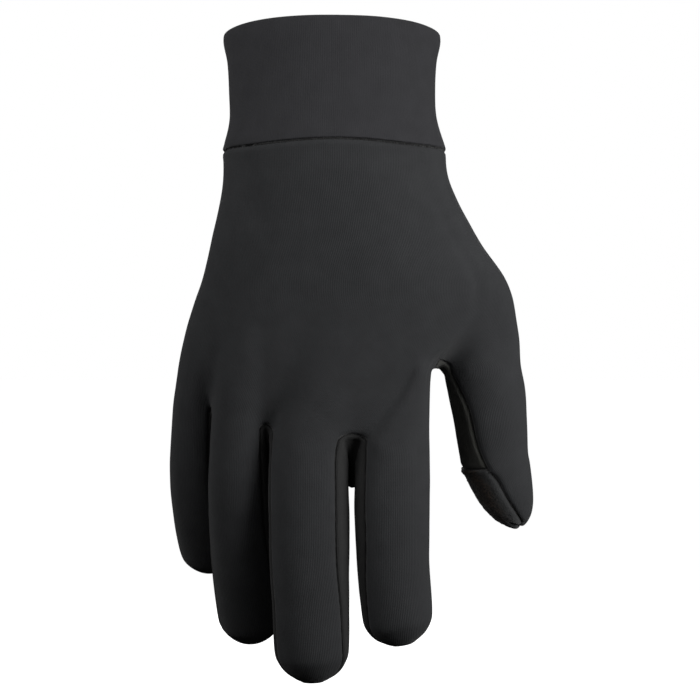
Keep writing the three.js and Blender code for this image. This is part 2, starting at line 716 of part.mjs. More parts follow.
function addMesh(group, name, geometry, colour) {
  const material = new THREE.MeshStandardMaterial({ color: colour, roughness: 0.85, metalness: 0 });
  const mesh = new THREE.Mesh(geometry, material);
  mesh.name = name;
  group.add(mesh);
}

buildSkin();
easeSkin();
const normals = skinNormals();
const glove = new THREE.Group();
addMesh(glove, "cuff", cuffGeometry(), CUFF_COLOUR);
for (const [name, colour] of Object.entries(PANELS))
  addMesh(glove, name, panelGeometry(name, normals), colour);

export default glove;
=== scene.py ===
import json
import math

import bpy
import numpy as np
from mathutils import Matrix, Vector, noise


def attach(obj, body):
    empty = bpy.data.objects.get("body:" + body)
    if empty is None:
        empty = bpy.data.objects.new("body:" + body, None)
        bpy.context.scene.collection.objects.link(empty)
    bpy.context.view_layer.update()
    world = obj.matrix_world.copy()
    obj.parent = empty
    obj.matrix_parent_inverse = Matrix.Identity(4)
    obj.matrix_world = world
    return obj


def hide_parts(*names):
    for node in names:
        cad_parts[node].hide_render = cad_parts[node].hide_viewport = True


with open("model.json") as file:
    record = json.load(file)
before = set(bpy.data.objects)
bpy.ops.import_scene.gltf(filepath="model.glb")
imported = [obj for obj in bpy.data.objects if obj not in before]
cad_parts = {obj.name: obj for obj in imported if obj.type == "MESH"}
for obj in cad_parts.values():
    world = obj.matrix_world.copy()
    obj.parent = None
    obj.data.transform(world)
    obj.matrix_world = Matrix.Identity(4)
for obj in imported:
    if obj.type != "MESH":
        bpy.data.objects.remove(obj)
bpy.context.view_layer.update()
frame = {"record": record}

# A thin knit liner glove for a right hand, as fine meshes in the place of the plain solids.
# The cage is the solids' own, so its sizes are in millimetres. Meshes are made in metres.
# The origin is the centre of the cuff's mouth, the back of the hand faces -Y, and +Z is up.

MM = 0.001

# The photograph's view
PHOTO_SIZE = 700  # pixels
PIXEL = 0.35  # millimetres of the glove for a pixel
CAMERA_X = 6.3
CAMERA_Z = -112.0
CAMERA_BACK = 1200.0

# The glove's main sizes, as in the solids
WALL = 1.5
CUFF_WALL = 2.8
CUFF_PROUD = 0.4
CUFF_LENGTH = 43.0
CUFF_TILT = 8
CUFF_DEPTH_RATIO = 0.64
CUFF_SEAM_X = 0.9
SEAM_GAP = 0.3
WEB_SLOPE = 19
THUMB_WEB_SLOPE = 1.4
THUMB_WEB_SAG = 0.5
THUMB_CROTCH = -117.4
WEB_ARCH = 1.2
RIM_DROP = 1.4
RIM_FADE = 12
THUMB_CROTCH_SEAM = -60
CROTCH_SEAM_FADE = 5
INDEX_FADE = 5
FINGER_FADE = 4
ARCH_X = -8
BACK_SPREAD = 4
WEB_SPREAD = 2
UPPER_ROWS = 9
LOWER_ROWS = 3
SHAFT_ROWS = 5
DOME_TURNS = (22.5, 45, 67.5)
PATCH_ROWS = 4
CUFF_BLEND_ROWS = 3
CROTCH_FADE = 1.15
DOME_TAPER = 0.5
DIRECTION_STEP = 1
EASING = {"rounds": 2, "strength": 0.25, "top": -100, "bottom": -150}
EVENING = {"rounds": 14, "first": 18, "last": 27}

# The sewn detail
CUT_GAP = 0.12  # each panel's edge stands back from the seam line
GROOVE = {"depth": 0.62, "width": 1.25, "puff": 0.12}
CUFF_GROOVE = {"depth": 0.5, "width": 1.2, "puff": 0.08}
CUFF_DIP = {"middle": 0.3, "sides": 0.8, "power": 6}  # how the cuff's seam hangs at the front


def rows(columns, *values):
    """A table with named columns, as a list of its rows."""
    return [dict(zip(columns.split(), row)) for row in values]


CUFF = rows("at half", (0, 37.8), (4, 37.9), (12, 36.6), (22, 36.0), (32, 36.2), (43, 39.0))

HAND = rows(
    "z left right y half little thumb round",
    (-43.0, -38.0, 39.6, -6.0, 24.0, 0, 0, 2.0),
    (-51.0, -37.8, 40.3, -6.3, 22.8, 0.5, 1.5, 2.0),
    (-59.5, -38.9, 43.5, -6.5, 21.5, 1, 3, 2.1),
    (-73.5, -42.0, 51.4, -6.0, 19.5, 2, 7, 2.2),
    (-87.5, -45.2, 61.2, -4.5, 18.0, 4, 11, 2.3),
    (-101.5, -50.3, 65.3, -3.0, 16.5, 7, 14, 2.4),
    (-119.0, -54.6, 67.1, -2.0, 14.5, 10, 15, 2.5),
    (-140.0, -57.4, 69.0, -1.0, 12.5, 13, 16, 2.5),
)

DIGIT_COLUMNS = "x y z wide deep"
DIGITS = {
    "little": rows(
        DIGIT_COLUMNS,
        (-47.9, 13.0, -133.0, 9.3, 9.8),
        (-47.7, 19.5, -150.0, 10.4, 10.2),
        (-46.7, 29.5, -168.0, 10.8, 10.3),
        (-45.0, 38.0, -180.0, 10.8, 10.1),
        (-42.7, 46.5, -190.9, 10.8, 10.1),
    ),
    "ring": rows(
        DIGIT_COLUMNS,
        (-32.9, 3.0, -138.0, 10.4, 11.0),
        (-32.9, 8.0, -157.0, 10.9, 11.0),
        (-32.0, 16.0, -178.5, 11.3, 11.0),
        (-30.3, 26.5, -199.0, 11.5, 10.9),
        (-28.5, 37.5, -216.1, 11.5, 10.9),
    ),
    "middle": rows(
        DIGIT_COLUMNS,
        (-7.9, -1.0, -141.0, 13.9, 11.8),
        (-7.9, 0.0, -164.0, 14.0, 11.8),
        (-7.7, 2.0, -188.0, 13.8, 11.6),
        (-7.2, 5.0, -209.0, 13.2, 11.3),
        (-6.8, 9.0, -229.2, 12.9, 11.2),
    ),
    "index": rows(
        DIGIT_COLUMNS,
        (21.4, 1.0, -142.0, 12.9, 11.5),
        (21.0, 1.5, -162.0, 13.3, 11.5),
        (21.4, 3.5, -184.0, 12.8, 11.2),
        (22.4, 6.0, -200.0, 12.5, 11.0),
        (24.8, 9.0, -216.0, 12.0, 10.8),
    ),
    "thumb": rows(
        DIGIT_COLUMNS,
        (53.2, 14.0, -118.5, 14.7, 12.8),
        (55.4, 16.5, -132.0, 14.0, 12.4),
        (57.0, 19.0, -145.0, 13.0, 11.8),
        (60.6, 22.0, -159.0, 11.1, 10.8),
        (67.6, 26.0, -174.7, 10.3, 10.0),
    ),
}


def by_digit(columns, *values):
    return dict(zip(DIGITS, rows(columns, *values)))


# Where the seams run round each digit, in degrees from its back towards the thumb's side
AROUND = by_digit(
    "leftBack left leftPalm rightBack right rightPalm",
    (-60, -90, -120, 26, 55, 100),
    (-92, -122, -166, 50, 81, 122),
    (-78, -99, -134, 42, 88, 128),
    (-47, -88, -128, 60, 90, 120),
    (-26, -80, -118, 72, 100, 132),
)
# Each digit's rounded tip: its length, the shares of the shaft where the seams start to turn and
# where the last row starts, the left strip's turn at the end and how many degrees it spreads there
TIP = by_digit(
    "dome start cut left turn",
    (11.3, 0.5, 0.8, -90, 18),
    (12.2, 0.5, 0.8, -90, 18),
    (13.8, 0.5, 0.8, -90, 18),
    (12.0, 0.5, 0.8, -90, 18),
    (22.0, 0.8, 0.89, -18, 24),
)
FINGERS = ("little", "ring", "middle", "index")
PRESSED = {"little": "ring", "ring": "little"}
PRESS_GAP = 1.2
CROTCHES = (-130.5, -133.7, -140.0, -142.8, -141.0)  # from the little side to the index side

PANELS = (
    "back_panel",
    "palm_panel",
    "fourchette_ring_little",
    "fourchette_middle_ring",
    "fourchette_index_middle",
    "thumb_inner_panel",
    "thumb_tip_patch",
)
BACK, PALM, RING_LITTLE, MIDDLE_RING, INDEX_MIDDLE, THUMB_INNER, TIP_PATCH = range(len(PANELS))
PALM_CUT = {PALM, THUMB_INNER, TIP_PATCH}  # panels whose cloth is laid out from the palm side


def mix(a, b, t):
    return a + (b - a) * t


def clamp(t):
    return min(max(t, 0.0), 1.0)


def ease(t):
    t = clamp(t)
    return t * t * (3 - 2 * t)


def bell(x):
    """1 at 0, falling smoothly to nothing at about 2."""
    return np.exp(-np.square(x))


def rise(value, start, reach):
    """0 up to start, then rising evenly to 1 over this reach."""
    return np.clip((value - start) / reach, 0, 1)


def unit(vectors):
    length = np.linalg.norm(vectors, axis=1, keepdims=True)
    return np.divide(vectors, length, out=np.zeros_like(vectors), where=length > 0)


def running(steps):
    """How far along a line each of its points lies."""
    return np.concatenate([[0.0], np.cumsum(steps)])


def add_object(name, data):
    thing = bpy.data.objects.new(name, data)
    bpy.context.scene.collection.objects.link(thing)
    return thing


def sample(table, key, at, column):
    """A table's value between its rows, on a smooth curve through them."""
    rising = 1 if table[1][key] > table[0][key] else -1
    i = 0
    while i < len(table) - 2 and (at - table[i + 1][key]) * rising > 0:
        i += 1

    def slope(k):
        a, b = table[max(k - 1, 0)], table[min(k + 1, len(table) - 1)]
        return (b[column] - a[column]) / (b[key] - a[key])

    start, end = table[i], table[i + 1]
    span = end[key] - start[key]
    t = clamp((at - start[key]) / span)
    t2, t3 = t * t, t * t * t
    return (
        (2 * t3 - 3 * t2 + 1) * start[column]
        + (t3 - 2 * t2 + t) * span * slope(i)
        + (3 * t2 - 2 * t3) * end[column]
        + (t3 - t2) * span * slope(i + 1)
    )


class Line:
    """A digit's centre line and size, by the distance along it."""

    def __init__(self, table):
        places = [[row[axis] for axis in "xyz"] for row in table]
        alongs = running([math.dist(a, b) for a, b in zip(places, places[1:])]).tolist()
        self.table = [{**row, "along": along} for row, along in zip(table, alongs)]
        self.length = alongs[-1]

    def size(self, along, column):
        return sample(self.table, "along", along, column)

    def point(self, along):
        return Vector([self.size(along, axis) for axis in "xyz"])

    def direction(self, along):
        low = max(along - DIRECTION_STEP, 0)
        high = min(along + DIRECTION_STEP, self.length)
        return (self.point(high) - self.point(low)).normalized()


def spread(low, high):
    return [mix(low, high, i / BACK_SPREAD) for i in range(BACK_SPREAD + 1)]


def crotch_seam(name, share):
    """Where a digit's left seam runs at a share of its shaft."""
    seam = AROUND[name]["leftBack"]
    return mix(seam, THUMB_CROTCH_SEAM, (1 - share) ** CROTCH_SEAM_FADE) if name == "thumb" else seam


def digit_turns(name, taper, seam):
    """The twelve turns round a digit: its back, its right side, its palm and its left side."""
    around, narrow = AROUND[name], TIP[name]["turn"]
    left_end, right_end = TIP[name]["left"], TIP[name]["left"] + 180
    left_back = mix(seam, left_end + narrow, taper)
    right_back = mix(around["rightBack"], right_end - narrow, taper)
    right_palm = mix(around["rightPalm"], right_end + narrow, taper)
    left_palm = mix(around["leftPalm"], left_end - narrow, taper) + 360
    return {
        "back": spread(left_back, right_back),
        "right": [mix(around["right"], right_end, taper)],
        "palm": spread(left_palm, right_palm),
        "left": [mix(around["left"], left_end, taper)],
    }


def digit_point(line, along, turn, scale, lower):
    """A point on a digit's skin. lower moves it along the digit, as on a slanted crotch."""
    at = max(along + lower, 0)
    forward = line.direction(at)
    out = (Vector((0, -1, 0)) + forward * forward.y).normalized()
    across = out.cross(forward).normalized()
    if across.x < 0:
        across.negate()
    angle = math.radians(turn)
    wide, deep = line.size(at, "wide") * scale, line.size(at, "deep") * scale
    side = across * (math.sin(angle) * wide) + out * (math.cos(angle) * deep)
    return line.point(at) + side + forward * (along + lower - at)


def press_flat(name, point):
    """The ring and little fingers press flat against each other, where they would cross."""
    if name not in PRESSED:
        return point
    mine, other = (
        Vector([sample(DIGITS[digit], "z", point.z, axis) for axis in "xy"])
        for digit in (name, PRESSED[name])
    )
    toward = other - mine
    limit = (toward.length - PRESS_GAP) / 2
    toward.normalize()
    beyond = (point.xy - mine).dot(toward) - limit
    return point - toward.to_3d() * max(beyond, 0)


def digit_ring(name, line, along, scale, lowers, taper, seam):
    turns = digit_turns(name, taper, seam)
    return {
        part: [
            press_flat(name, digit_point(line, along, turn, scale, low))
            for turn, low in zip(turns[part], lowers[part])
        ]
        for part in turns
    }


def crotch_lowers(line, left, right, slope):
    """How far each point of a digit's first ring lies below the ring's centre."""
    top = line.point(0).z
    return {
        "back": [top - level for level in spread(left, right)],
        "right": [top - right + slope / 2],
        "palm": [top - level + slope for level in spread(left, right)],
        "left": [top - left + slope / 2],
    }


def scaled(lowers, share):
    return {part: [lower * share for lower in lowers[part]] for part in lowers}


# The cage: points, quads with their panel, and where each point lies on the flat cloth
points = []
quads = []
along_cloth = {}
across_cloth = {"back": {}, "palm": {}}


def add_point(point, level):
    points.append(point.copy())
    along_cloth[len(points) - 1] = level
    return len(points) - 1


def place_ring(ring, levels=None):
    """Adds a ring's points. Their places along the cloth are their levels, unless given."""
    return {
        part: [add_point(p, levels[part][i] if levels else -p.z) for i, p in enumerate(ring[part])]
        for part in ring
    }


def measure_ring(ring, column):
    """Notes how far across the cloth a ring's points lie, from a column of its back and palm."""
    for face, other in (("back", "palm"), ("palm", "back")):
        chain = [ring[other][0], *ring["left"], *ring[face], *ring["right"], ring[other][-1]]
        steps = [(points[b] - points[a]).length for a, b in zip(chain, chain[1:])]
        at = running(steps)
        zero = chain.index(ring[face][column])
        start = across_cloth[face].get(chain[zero], 0.0)
        for place, value in zip(chain, at - at[zero]):
            across_cloth[face][place] = start + value


def add_quad(panel, corners, cloth=None):
    if cloth is None:
        across = across_cloth["palm" if panel in PALM_CUT else "back"]
        cloth = [(across[corner], along_cloth[corner]) for corner in corners]
    quads.append((panel, corners, cloth))


def add_band(panel, upper, lower):
    for i in range(len(upper) - 1):
        add_quad(panel, (upper[i], lower[i], lower[i + 1], upper[i + 1]))


def add_saddle(ring, column, middles, panels):
    """A web's four quads, through the hand from the back to the palm."""
    for i in range(WEB_SPREAD):
        a, b = column + i, column + i + 1
        for corners in (
            (ring["back"][a], middles[i], middles[i + 1], ring["back"][b]),
            (middles[i], ring["palm"][a], ring["palm"][b], middles[i + 1]),
        ):
            add_quad(panels[i], corners, [(points[c].y, points[c].x) for c in corners])


def add_digit(name, first, panels, lowers):
    line, tip = LINES[name], TIP[name]
    dome = tip["dome"]
    shaft = line.length - dome
    middle = BACK_SPREAD // 2
    start = -line.point(0).z
    rings = [first]

    def add_ring(along, distance, scale, slack, taper):
        seam = crotch_seam(name, min(distance / shaft, 1))
        ring = digit_ring(name, line, along, scale, slack, taper, seam)
        levels = {part: [start + distance + low for low in slack[part]] for part in slack}
        rings.append(place_ring(ring, levels))
        for face, across in across_cloth.items():
            across[rings[-1][face][middle]] = across[rings[-2][face][middle]]
        measure_ring(rings[-1], middle)

    for i in range(1, SHAFT_ROWS + 1):
        share = tip["cut"] * i / (SHAFT_ROWS - 1) if i < SHAFT_ROWS else 1
        slack = scaled(lowers, 1 - ease(share * CROTCH_FADE))
        taper = ease((share - tip["start"]) / (1 - tip["start"])) * DOME_TAPER
        add_ring(shaft * share, shaft * share, 1, slack, taper)
    level = scaled(lowers, 0)
    for turn in DOME_TURNS:
        angle = math.radians(turn)
        taper = mix(DOME_TAPER, 1, turn / DOME_TURNS[-1])
        add_ring(shaft + dome * math.sin(angle), shaft + dome * angle, math.cos(angle), level, taper)

    for i in range(1, len(rings)):
        up, down = rings[i - 1], rings[i]
        patched = "patch" in panels and i > len(rings) - 1 - PATCH_ROWS
        palm, left = (panels["patch" if patched else part] for part in ("palm", "left"))
        for panel, side in (
            (BACK, lambda r: r["back"]),
            (panels["right"], lambda r: [r["back"][-1], r["right"][0], r["palm"][-1]]),
            (palm, lambda r: r["palm"][::-1]),
            (left, lambda r: [r["palm"][0], r["left"][0], r["back"][0]]),
        ):
            add_band(panel, side(up), side(down))

    end = rings[-1]
    left, right = end["left"][0], end["right"][0]
    reach = dome * (1 - math.sin(math.radians(DOME_TURNS[-1])))
    last = start + shaft + dome * math.pi / 2
    ends = [left]
    for i in range(1, BACK_SPREAD):
        share = i / BACK_SPREAD
        fall = 1 - (2 * share - 1) ** 2 / 2
        point = points[left].lerp(points[right], share) + line.direction(line.length) * (reach * fall)
        ends.append(add_point(point, last))
        for across in across_cloth.values():
            across[ends[-1]] = mix(across[left], across[right], share)
    ends.append(right)
    add_band(BACK, end["back"], ends)
    add_band(panels.get("patch", panels["palm"]), ends, end["palm"])


def hand_point(turn, z):
    """The hand's section at one level."""
    left, right, fullness = (sample(HAND, "z", z, column) for column in ("left", "right", "round"))
    sine, cosine = math.sin(turn), math.cos(turn)
    power = 2 / fullness
    x = (left + right) / 2 + (right - left) / 2 * math.copysign(abs(sine) ** power, sine)
    little = max(0, (ARCH_X - x) / (ARCH_X - left)) ** 2 * sample(HAND, "z", z, "little")
    thumb = max(0, (x - ARCH_X) / (right - ARCH_X)) ** 2 * sample(HAND, "z", z, "thumb")
    half = sample(HAND, "z", z, "half") * math.copysign(abs(cosine) ** power, cosine)
    return Vector((x, sample(HAND, "z", z, "y") + little + thumb - half, z))


def cuff_point(turn, at, outward):
    """The cuff's section: an ellipse square to the cuff's own axis."""
    half = sample(CUFF, "at", at, "half")
    y = -math.cos(turn) * (half * CUFF_DEPTH_RATIO + outward)
    x = math.sin(turn) * (half + outward) + CUFF_SEAM_X * ease(at / CUFF_LENGTH) ** 3
    down = at + RIM_DROP * math.sin(turn) ** 4 * (1 - ease(at / RIM_FADE))
    if math.cos(turn) > 0:
        dip = CUFF_DIP["middle"] * math.cos(turn) + CUFF_DIP["sides"] * math.sin(2 * turn) ** 2
        down += dip * (at / CUFF_LENGTH) ** CUFF_DIP["power"]
    tilt = math.radians(CUFF_TILT)
    lean, level = math.sin(tilt), math.cos(tilt)
    return Vector((x, y * level - down * lean, -y * lean - down * level))


STARTS = {name: i * (BACK_SPREAD + WEB_SPREAD) for i, name in enumerate([*FINGERS, "thumb"])}
HAND_COLUMNS = STARTS["thumb"] + BACK_SPREAD
INDEX_END = STARTS["index"] + BACK_SPREAD
MIDDLE_COLUMN = STARTS["middle"] + BACK_SPREAD // 2
EDGE_TURN = 90 - 180 / (HAND_COLUMNS + 2)
TOTAL_ROWS = UPPER_ROWS + LOWER_ROWS

LINES = {name: Line(table) for name, table in DIGITS.items()}
LOWERS = {
    name: crotch_lowers(LINES[name], CROTCHES[i], CROTCHES[i + 1], WEB_SLOPE)
    for i, name in enumerate(FINGERS)
}
LOWERS["thumb"] = crotch_lowers(LINES["thumb"], THUMB_CROTCH, THUMB_CROTCH, THUMB_WEB_SLOPE)
FIRST = {
    name: digit_ring(name, line, 0, 1, LOWERS[name], 0, crotch_seam(name, 0))
    for name, line in LINES.items()
}


def column_turn(column):
    return math.radians(mix(-EDGE_TURN, EDGE_TURN, column / HAND_COLUMNS))


def foot_point(name, part, place, z):
    """A point of a digit's first ring, carried straight up to a level."""
    foot, forward = FIRST[name][part][place], LINES[name].direction(0)
    return foot + forward * ((z - foot.z) / forward.z)


def ray_point(face, column, z):
    """Where a column's digit would have the point, or the middle between two digits on a web."""
    which, place = divmod(column, BACK_SPREAD + WEB_SPREAD)
    names = [*FINGERS, "thumb"][which : which + 2]
    if place <= BACK_SPREAD:
        return foot_point(names[0], face, place, z)
    return foot_point(names[0], face, BACK_SPREAD, z).lerp(foot_point(names[1], face, 0, z), 0.5)


def upper_level(share):
    return THUMB_CROTCH - THUMB_WEB_SLOPE * share


def lower_level(column, share):
    digit = min(column / (BACK_SPREAD + WEB_SPREAD), len(FINGERS))
    which = min(int(digit), len(FINGERS) - 1)
    return mix(CROTCHES[which], CROTCHES[which + 1], min(digit - which, 1)) - WEB_SLOPE * share


def row_level(row, column, share, start):
    on_web = column % (BACK_SPREAD + WEB_SPREAD) > BACK_SPREAD
    arch = WEB_ARCH * (1 - share) if on_web else 0  # a web's middle column is higher on the back
    upper = upper_level(share) + (arch if column > INDEX_END else 0)
    if row <= UPPER_ROWS:
        return mix(start, upper, row / UPPER_ROWS)
    return mix(upper, lower_level(column, share) + arch, (row - UPPER_ROWS) / LOWER_ROWS)


def column_weight(row, column):
    share = clamp((column - STARTS["index"]) / BACK_SPREAD)
    return mix((row / TOTAL_ROWS) ** FINGER_FADE, min(row / UPPER_ROWS, 1) ** INDEX_FADE, share)


def hand_row(row):
    """One row of the hand's sheet, round the whole hand or, below the thumb, round the fingers."""
    columns = HAND_COLUMNS if row <= UPPER_ROWS else INDEX_END

    def place(turn, column, share, ray):
        start = cuff_point(turn, CUFF_LENGTH + SEAM_GAP, -CUFF_PROUD)
        if row == 0:
            return start
        z = row_level(row, column, share, start.z)
        near_cuff = max(0, 1 - row / CUFF_BLEND_ROWS) ** 2
        base = hand_point(turn, z)
        moved = Vector((start.x + base.x - hand_point(turn, start.z).x, start.y, z))
        return base.lerp(moved, near_cuff).lerp(ray(z), column_weight(row, column))

    def face(name, share, flip):
        return [
            place(flip(column_turn(column)), column, share, lambda z, c=column: ray_point(name, c, z))
            for column in range(columns + 1)
        ]

    right_digit = "thumb" if row <= UPPER_ROWS else "index"
    ring = {
        "back": face("back", 0, lambda turn: turn),
        "right": [place(math.pi / 2, columns, 0.5, lambda z: foot_point(right_digit, "right", 0, z))],
        "palm": face("palm", 1, lambda turn: math.pi - turn),
        "left": [place(-math.pi / 2, 0, 0.5, lambda z: foot_point("little", "left", 0, z))],
    }
    if row < UPPER_ROWS:
        even_out(ring["back"])
    return fit_outline(ring, row)


def even_out(back):
    """Draws the back's points level with their neighbours, between the index finger and the thumb."""
    for _ in range(EVENING["rounds"]):
        depths = [point.y for point in back]
        for i in range(EVENING["first"], EVENING["last"] + 1):
            back[i].y = (depths[i - 1] + 2 * depths[i] + depths[i + 1]) / 4


def fit_outline(ring, row):
    """Moves a row's points sideways, so that the row's edges lie on the outline."""
    if row == 0:
        return ring
    everything = [point for part in ring.values() for point in part]
    low, high = min(p.x for p in everything), max(p.x for p in everything)
    for point in everything:
        left = sample(HAND, "z", point.z, "left")
        right = sample(HAND, "z", point.z, "right") if row <= UPPER_ROWS else high
        point.x = mix(left, right, (point.x - low) / (high - low))
    return ring


def build_skin():
    sheet = [place_ring(hand_row(row)) for row in range(TOTAL_ROWS + 1)]
    for ring in sheet:
        measure_ring(ring, MIDDLE_COLUMN)
    crotch_row, last_row = sheet[UPPER_ROWS], sheet[TOTAL_ROWS]

    web = upper_level(0.5) - THUMB_WEB_SAG
    thumb_left = add_point(foot_point("thumb", "left", 0, web), -web)
    index_right = add_point(foot_point("index", "right", 0, web), -web)
    middle = add_point(points[index_right].lerp(points[thumb_left], 0.5), -web)
    edge = crotch_row["back"][INDEX_END]
    across_cloth["back"][index_right] = (
        across_cloth["back"][edge] + (points[index_right] - points[edge]).length
    )
    across_cloth["palm"][index_right] = across_cloth["palm"][crotch_row["palm"][INDEX_END]]

    for row in range(1, TOTAL_ROWS + 1):
        up, down = sheet[row - 1], sheet[row]
        columns = HAND_COLUMNS if row <= UPPER_ROWS else INDEX_END
        up_right = index_right if row == UPPER_ROWS + 1 else up["right"][0]
        add_band(BACK, up["back"][: columns + 1], down["back"][: columns + 1])
        add_band(PALM, up["palm"][columns::-1], down["palm"][columns::-1])
        upper = [up["back"][columns], up_right, up["palm"][columns]]
        if row == UPPER_ROWS + 1:
            add_side(upper, [down["back"][columns], down["right"][0], down["palm"][columns]])
        else:
            add_band(BACK, upper, [down["back"][columns], down["right"][0], down["palm"][columns]])
        add_band(
            BACK,
            [up["palm"][0], up["left"][0], up["back"][0]],
            [down["palm"][0], down["left"][0], down["back"][0]],
        )
    add_saddle(crotch_row, INDEX_END, [index_right, middle, thumb_left], (BACK, THUMB_INNER))

    strips = (RING_LITTLE, MIDDLE_RING, INDEX_MIDDLE)
    sides = [{} for _ in FINGERS]
    for i, name in enumerate(FINGERS):
        outermost = i == len(FINGERS) - 1
        for side, shared in (("left", i == 0), ("right", outermost)):
            foot = FIRST[name][side][0]
            sides[i][side] = last_row[side] if shared else [add_point(foot, -foot.z)]
    for i, panel in enumerate(strips):
        start, end = sides[i]["right"][0], sides[i + 1]["left"][0]
        between = points[start].lerp(points[end], 0.5)
        middles = [start, add_point(between, -between.z), end]
        add_saddle(last_row, STARTS[FINGERS[i]] + BACK_SPREAD, middles, (panel, panel))
    for i, name in enumerate(FINGERS):
        cut = slice(STARTS[name], STARTS[name] + BACK_SPREAD + 1)
        ring = {"back": last_row["back"][cut], "palm": last_row["palm"][cut], **sides[i]}
        measure_ring(ring, BACK_SPREAD // 2)
        panels = {
            "palm": PALM,
            "left": BACK if i == 0 else strips[i - 1],
            "right": BACK if i == len(FINGERS) - 1 else strips[i],
        }
        add_digit(name, ring, panels, LOWERS[name])

    thumb = {
        "back": crotch_row["back"][STARTS["thumb"] :],
        "right": crotch_row["right"],
        "palm": crotch_row["palm"][STARTS["thumb"] :],
        "left": [thumb_left],
    }
    measure_ring(thumb, BACK_SPREAD // 2)
    panels = {"palm": THUMB_INNER, "left": THUMB_INNER, "right": BACK, "patch": TIP_PATCH}
    add_digit("thumb", thumb, panels, LOWERS["thumb"])


def add_side(upper, lower):
    """The index finger's side just below the thumb's crotch, where the cloth turns the corner."""
    across = across_cloth["back"]
    near, _, far = upper
    across[far] = across[near] + (points[far] - points[near]).length
    add_band(BACK, upper, lower)
    del across[far]


def ease_skin():
    """Moves points towards the average of their neighbours, where webs and digits meet."""
    neighbours = [set() for _ in points]
    for _, corners, _ in quads:
        for i, corner in enumerate(corners):
            neighbours[corner].update((corners[(i + 1) % 4], corners[(i + 3) % 4]))
    for _ in range(EASING["rounds"]):
        moved = [point.copy() for point in points]
        for i, point in enumerate(points):
            if EASING["bottom"] <= point.z <= EASING["top"]:
                mean = sum((points[n] for n in neighbours[i]), Vector()) / len(neighbours[i])
                moved[i] = point.lerp(mean, EASING["strength"])
        points[:] = moved


# The fine skin: the cage subdivided, so that its surface passes through the cage's points
LEVELS = 3
FIT_ROUNDS = 3


def subdivide(control):
    """The subdivided cage as numbers: places, normals, quads, panels and cloth coordinates."""
    mesh = bpy.data.meshes.new("cage")
    mesh.from_pydata(control.tolist(), [], [corners for _, corners, _ in quads])
    mesh.polygons.foreach_set("material_index", [panel for panel, _, _ in quads])
    layer = mesh.uv_layers.new(name="cloth")
    layer.data.foreach_set("uv", np.array([cloth for _, _, cloth in quads]).ravel())
    mesh.polygons.foreach_set("use_smooth", [True] * len(quads))
    body = add_object("cage", mesh)
    modifier = body.modifiers.new("fine", "SUBSURF")
    modifier.levels = LEVELS
    modifier.use_limit_surface = True
    fine = body.evaluated_get(bpy.context.evaluated_depsgraph_get()).to_mesh()
    result = {
        "co": read(fine.vertices, "co", 3),
        "normal": read(fine.vertices, "normal", 3),
        "quads": read(fine.loops, "vertex_index", 1, int).reshape(-1, 4),
        "panel": read(fine.polygons, "material_index", 1, int).ravel(),
        "cloth": read(fine.uv_layers["cloth"].data, "uv", 2).reshape(-1, 4, 2),
    }
    bpy.data.objects.remove(body)
    bpy.data.meshes.remove(mesh)
    return result


def read(items, name, size, kind=float):
    values = np.empty(len(items) * size, dtype=kind)
    items.foreach_get(name, values)
    return values.reshape(-1, size)


def fine_skin():
    target = np.array(points)
    control = target.copy()
    for _ in range(FIT_ROUNDS):
        control += target - subdivide(control)["co"][: len(points)]
    return subdivide(control)


def quad_edges(quads):
    """Where each edge of each quad starts and ends."""
    return quads.ravel(), np.roll(quads, -1, axis=1).ravel()


def seam_edges(fine):
    """The fine skin's edges between two panels, and those of its open end at the cuff."""
    starts, ends = quad_edges(fine["quads"])
    panels = np.repeat(fine["panel"], 4)
    key = np.minimum(starts, ends) * len(fine["co"]) + np.maximum(starts, ends)
    order = np.argsort(key, kind="stable")
    key, starts, ends, panels = key[order], starts[order], ends[order], panels[order]
    twin = key[:-1] == key[1:]
    first = np.flatnonzero(twin)
    apart = first[panels[first] != panels[first + 1]]
    alone = np.ones(len(key), dtype=bool)
    alone[first] = False
    alone[first + 1] = False
    sewn = np.stack([starts[apart], ends[apart], panels[apart], panels[apart + 1]], axis=1)
    open_end = np.stack([starts[alone], ends[alone]], axis=1)
    return sewn, open_end


def spread_from(fine, edges, rings):
    """Each point's distance over the skin from these edges, and the point of theirs nearest to it.

    Only the points that lie no more than this many quads away are reached.
    """
    co = fine["co"]
    near = np.full(len(co), -1)
    distance = np.full(len(co), np.inf)
    sources = np.unique(edges)
    near[sources] = sources
    distance[sources] = 0
    tangent = np.zeros_like(co)
    step = co[edges[:, 1]] - co[edges[:, 0]]
    for column in (0, 1):
        sign = np.sign(np.einsum("ij,ij->i", tangent[edges[:, column]], step))
        np.add.at(tangent, edges[:, column], step * np.where(sign == 0, 1, sign)[:, None])
    tangent = unit(tangent)
    starts, ends = quad_edges(fine["quads"])
    a, b = np.concatenate([starts, ends]), np.concatenate([ends, starts])
    for _ in range(rings):
        reached = near[a] >= 0
        here, there = near[a[reached]], b[reached]
        found = np.linalg.norm(co[there] - co[here], axis=1)
        order = np.argsort(-found)
        better = order[found[order] < distance[there[order]]]
        near[there[better]] = here[better]
        distance[there[better]] = found[better]
    known = near >= 0
    away = co[known] - co[near[known]]
    lean = tangent[near[known]]
    side = away - lean * np.einsum("ij,ij->i", away, lean)[:, None]
    distance[known] = np.linalg.norm(side, axis=1)
    distance[sources] = 0
    return distance, near


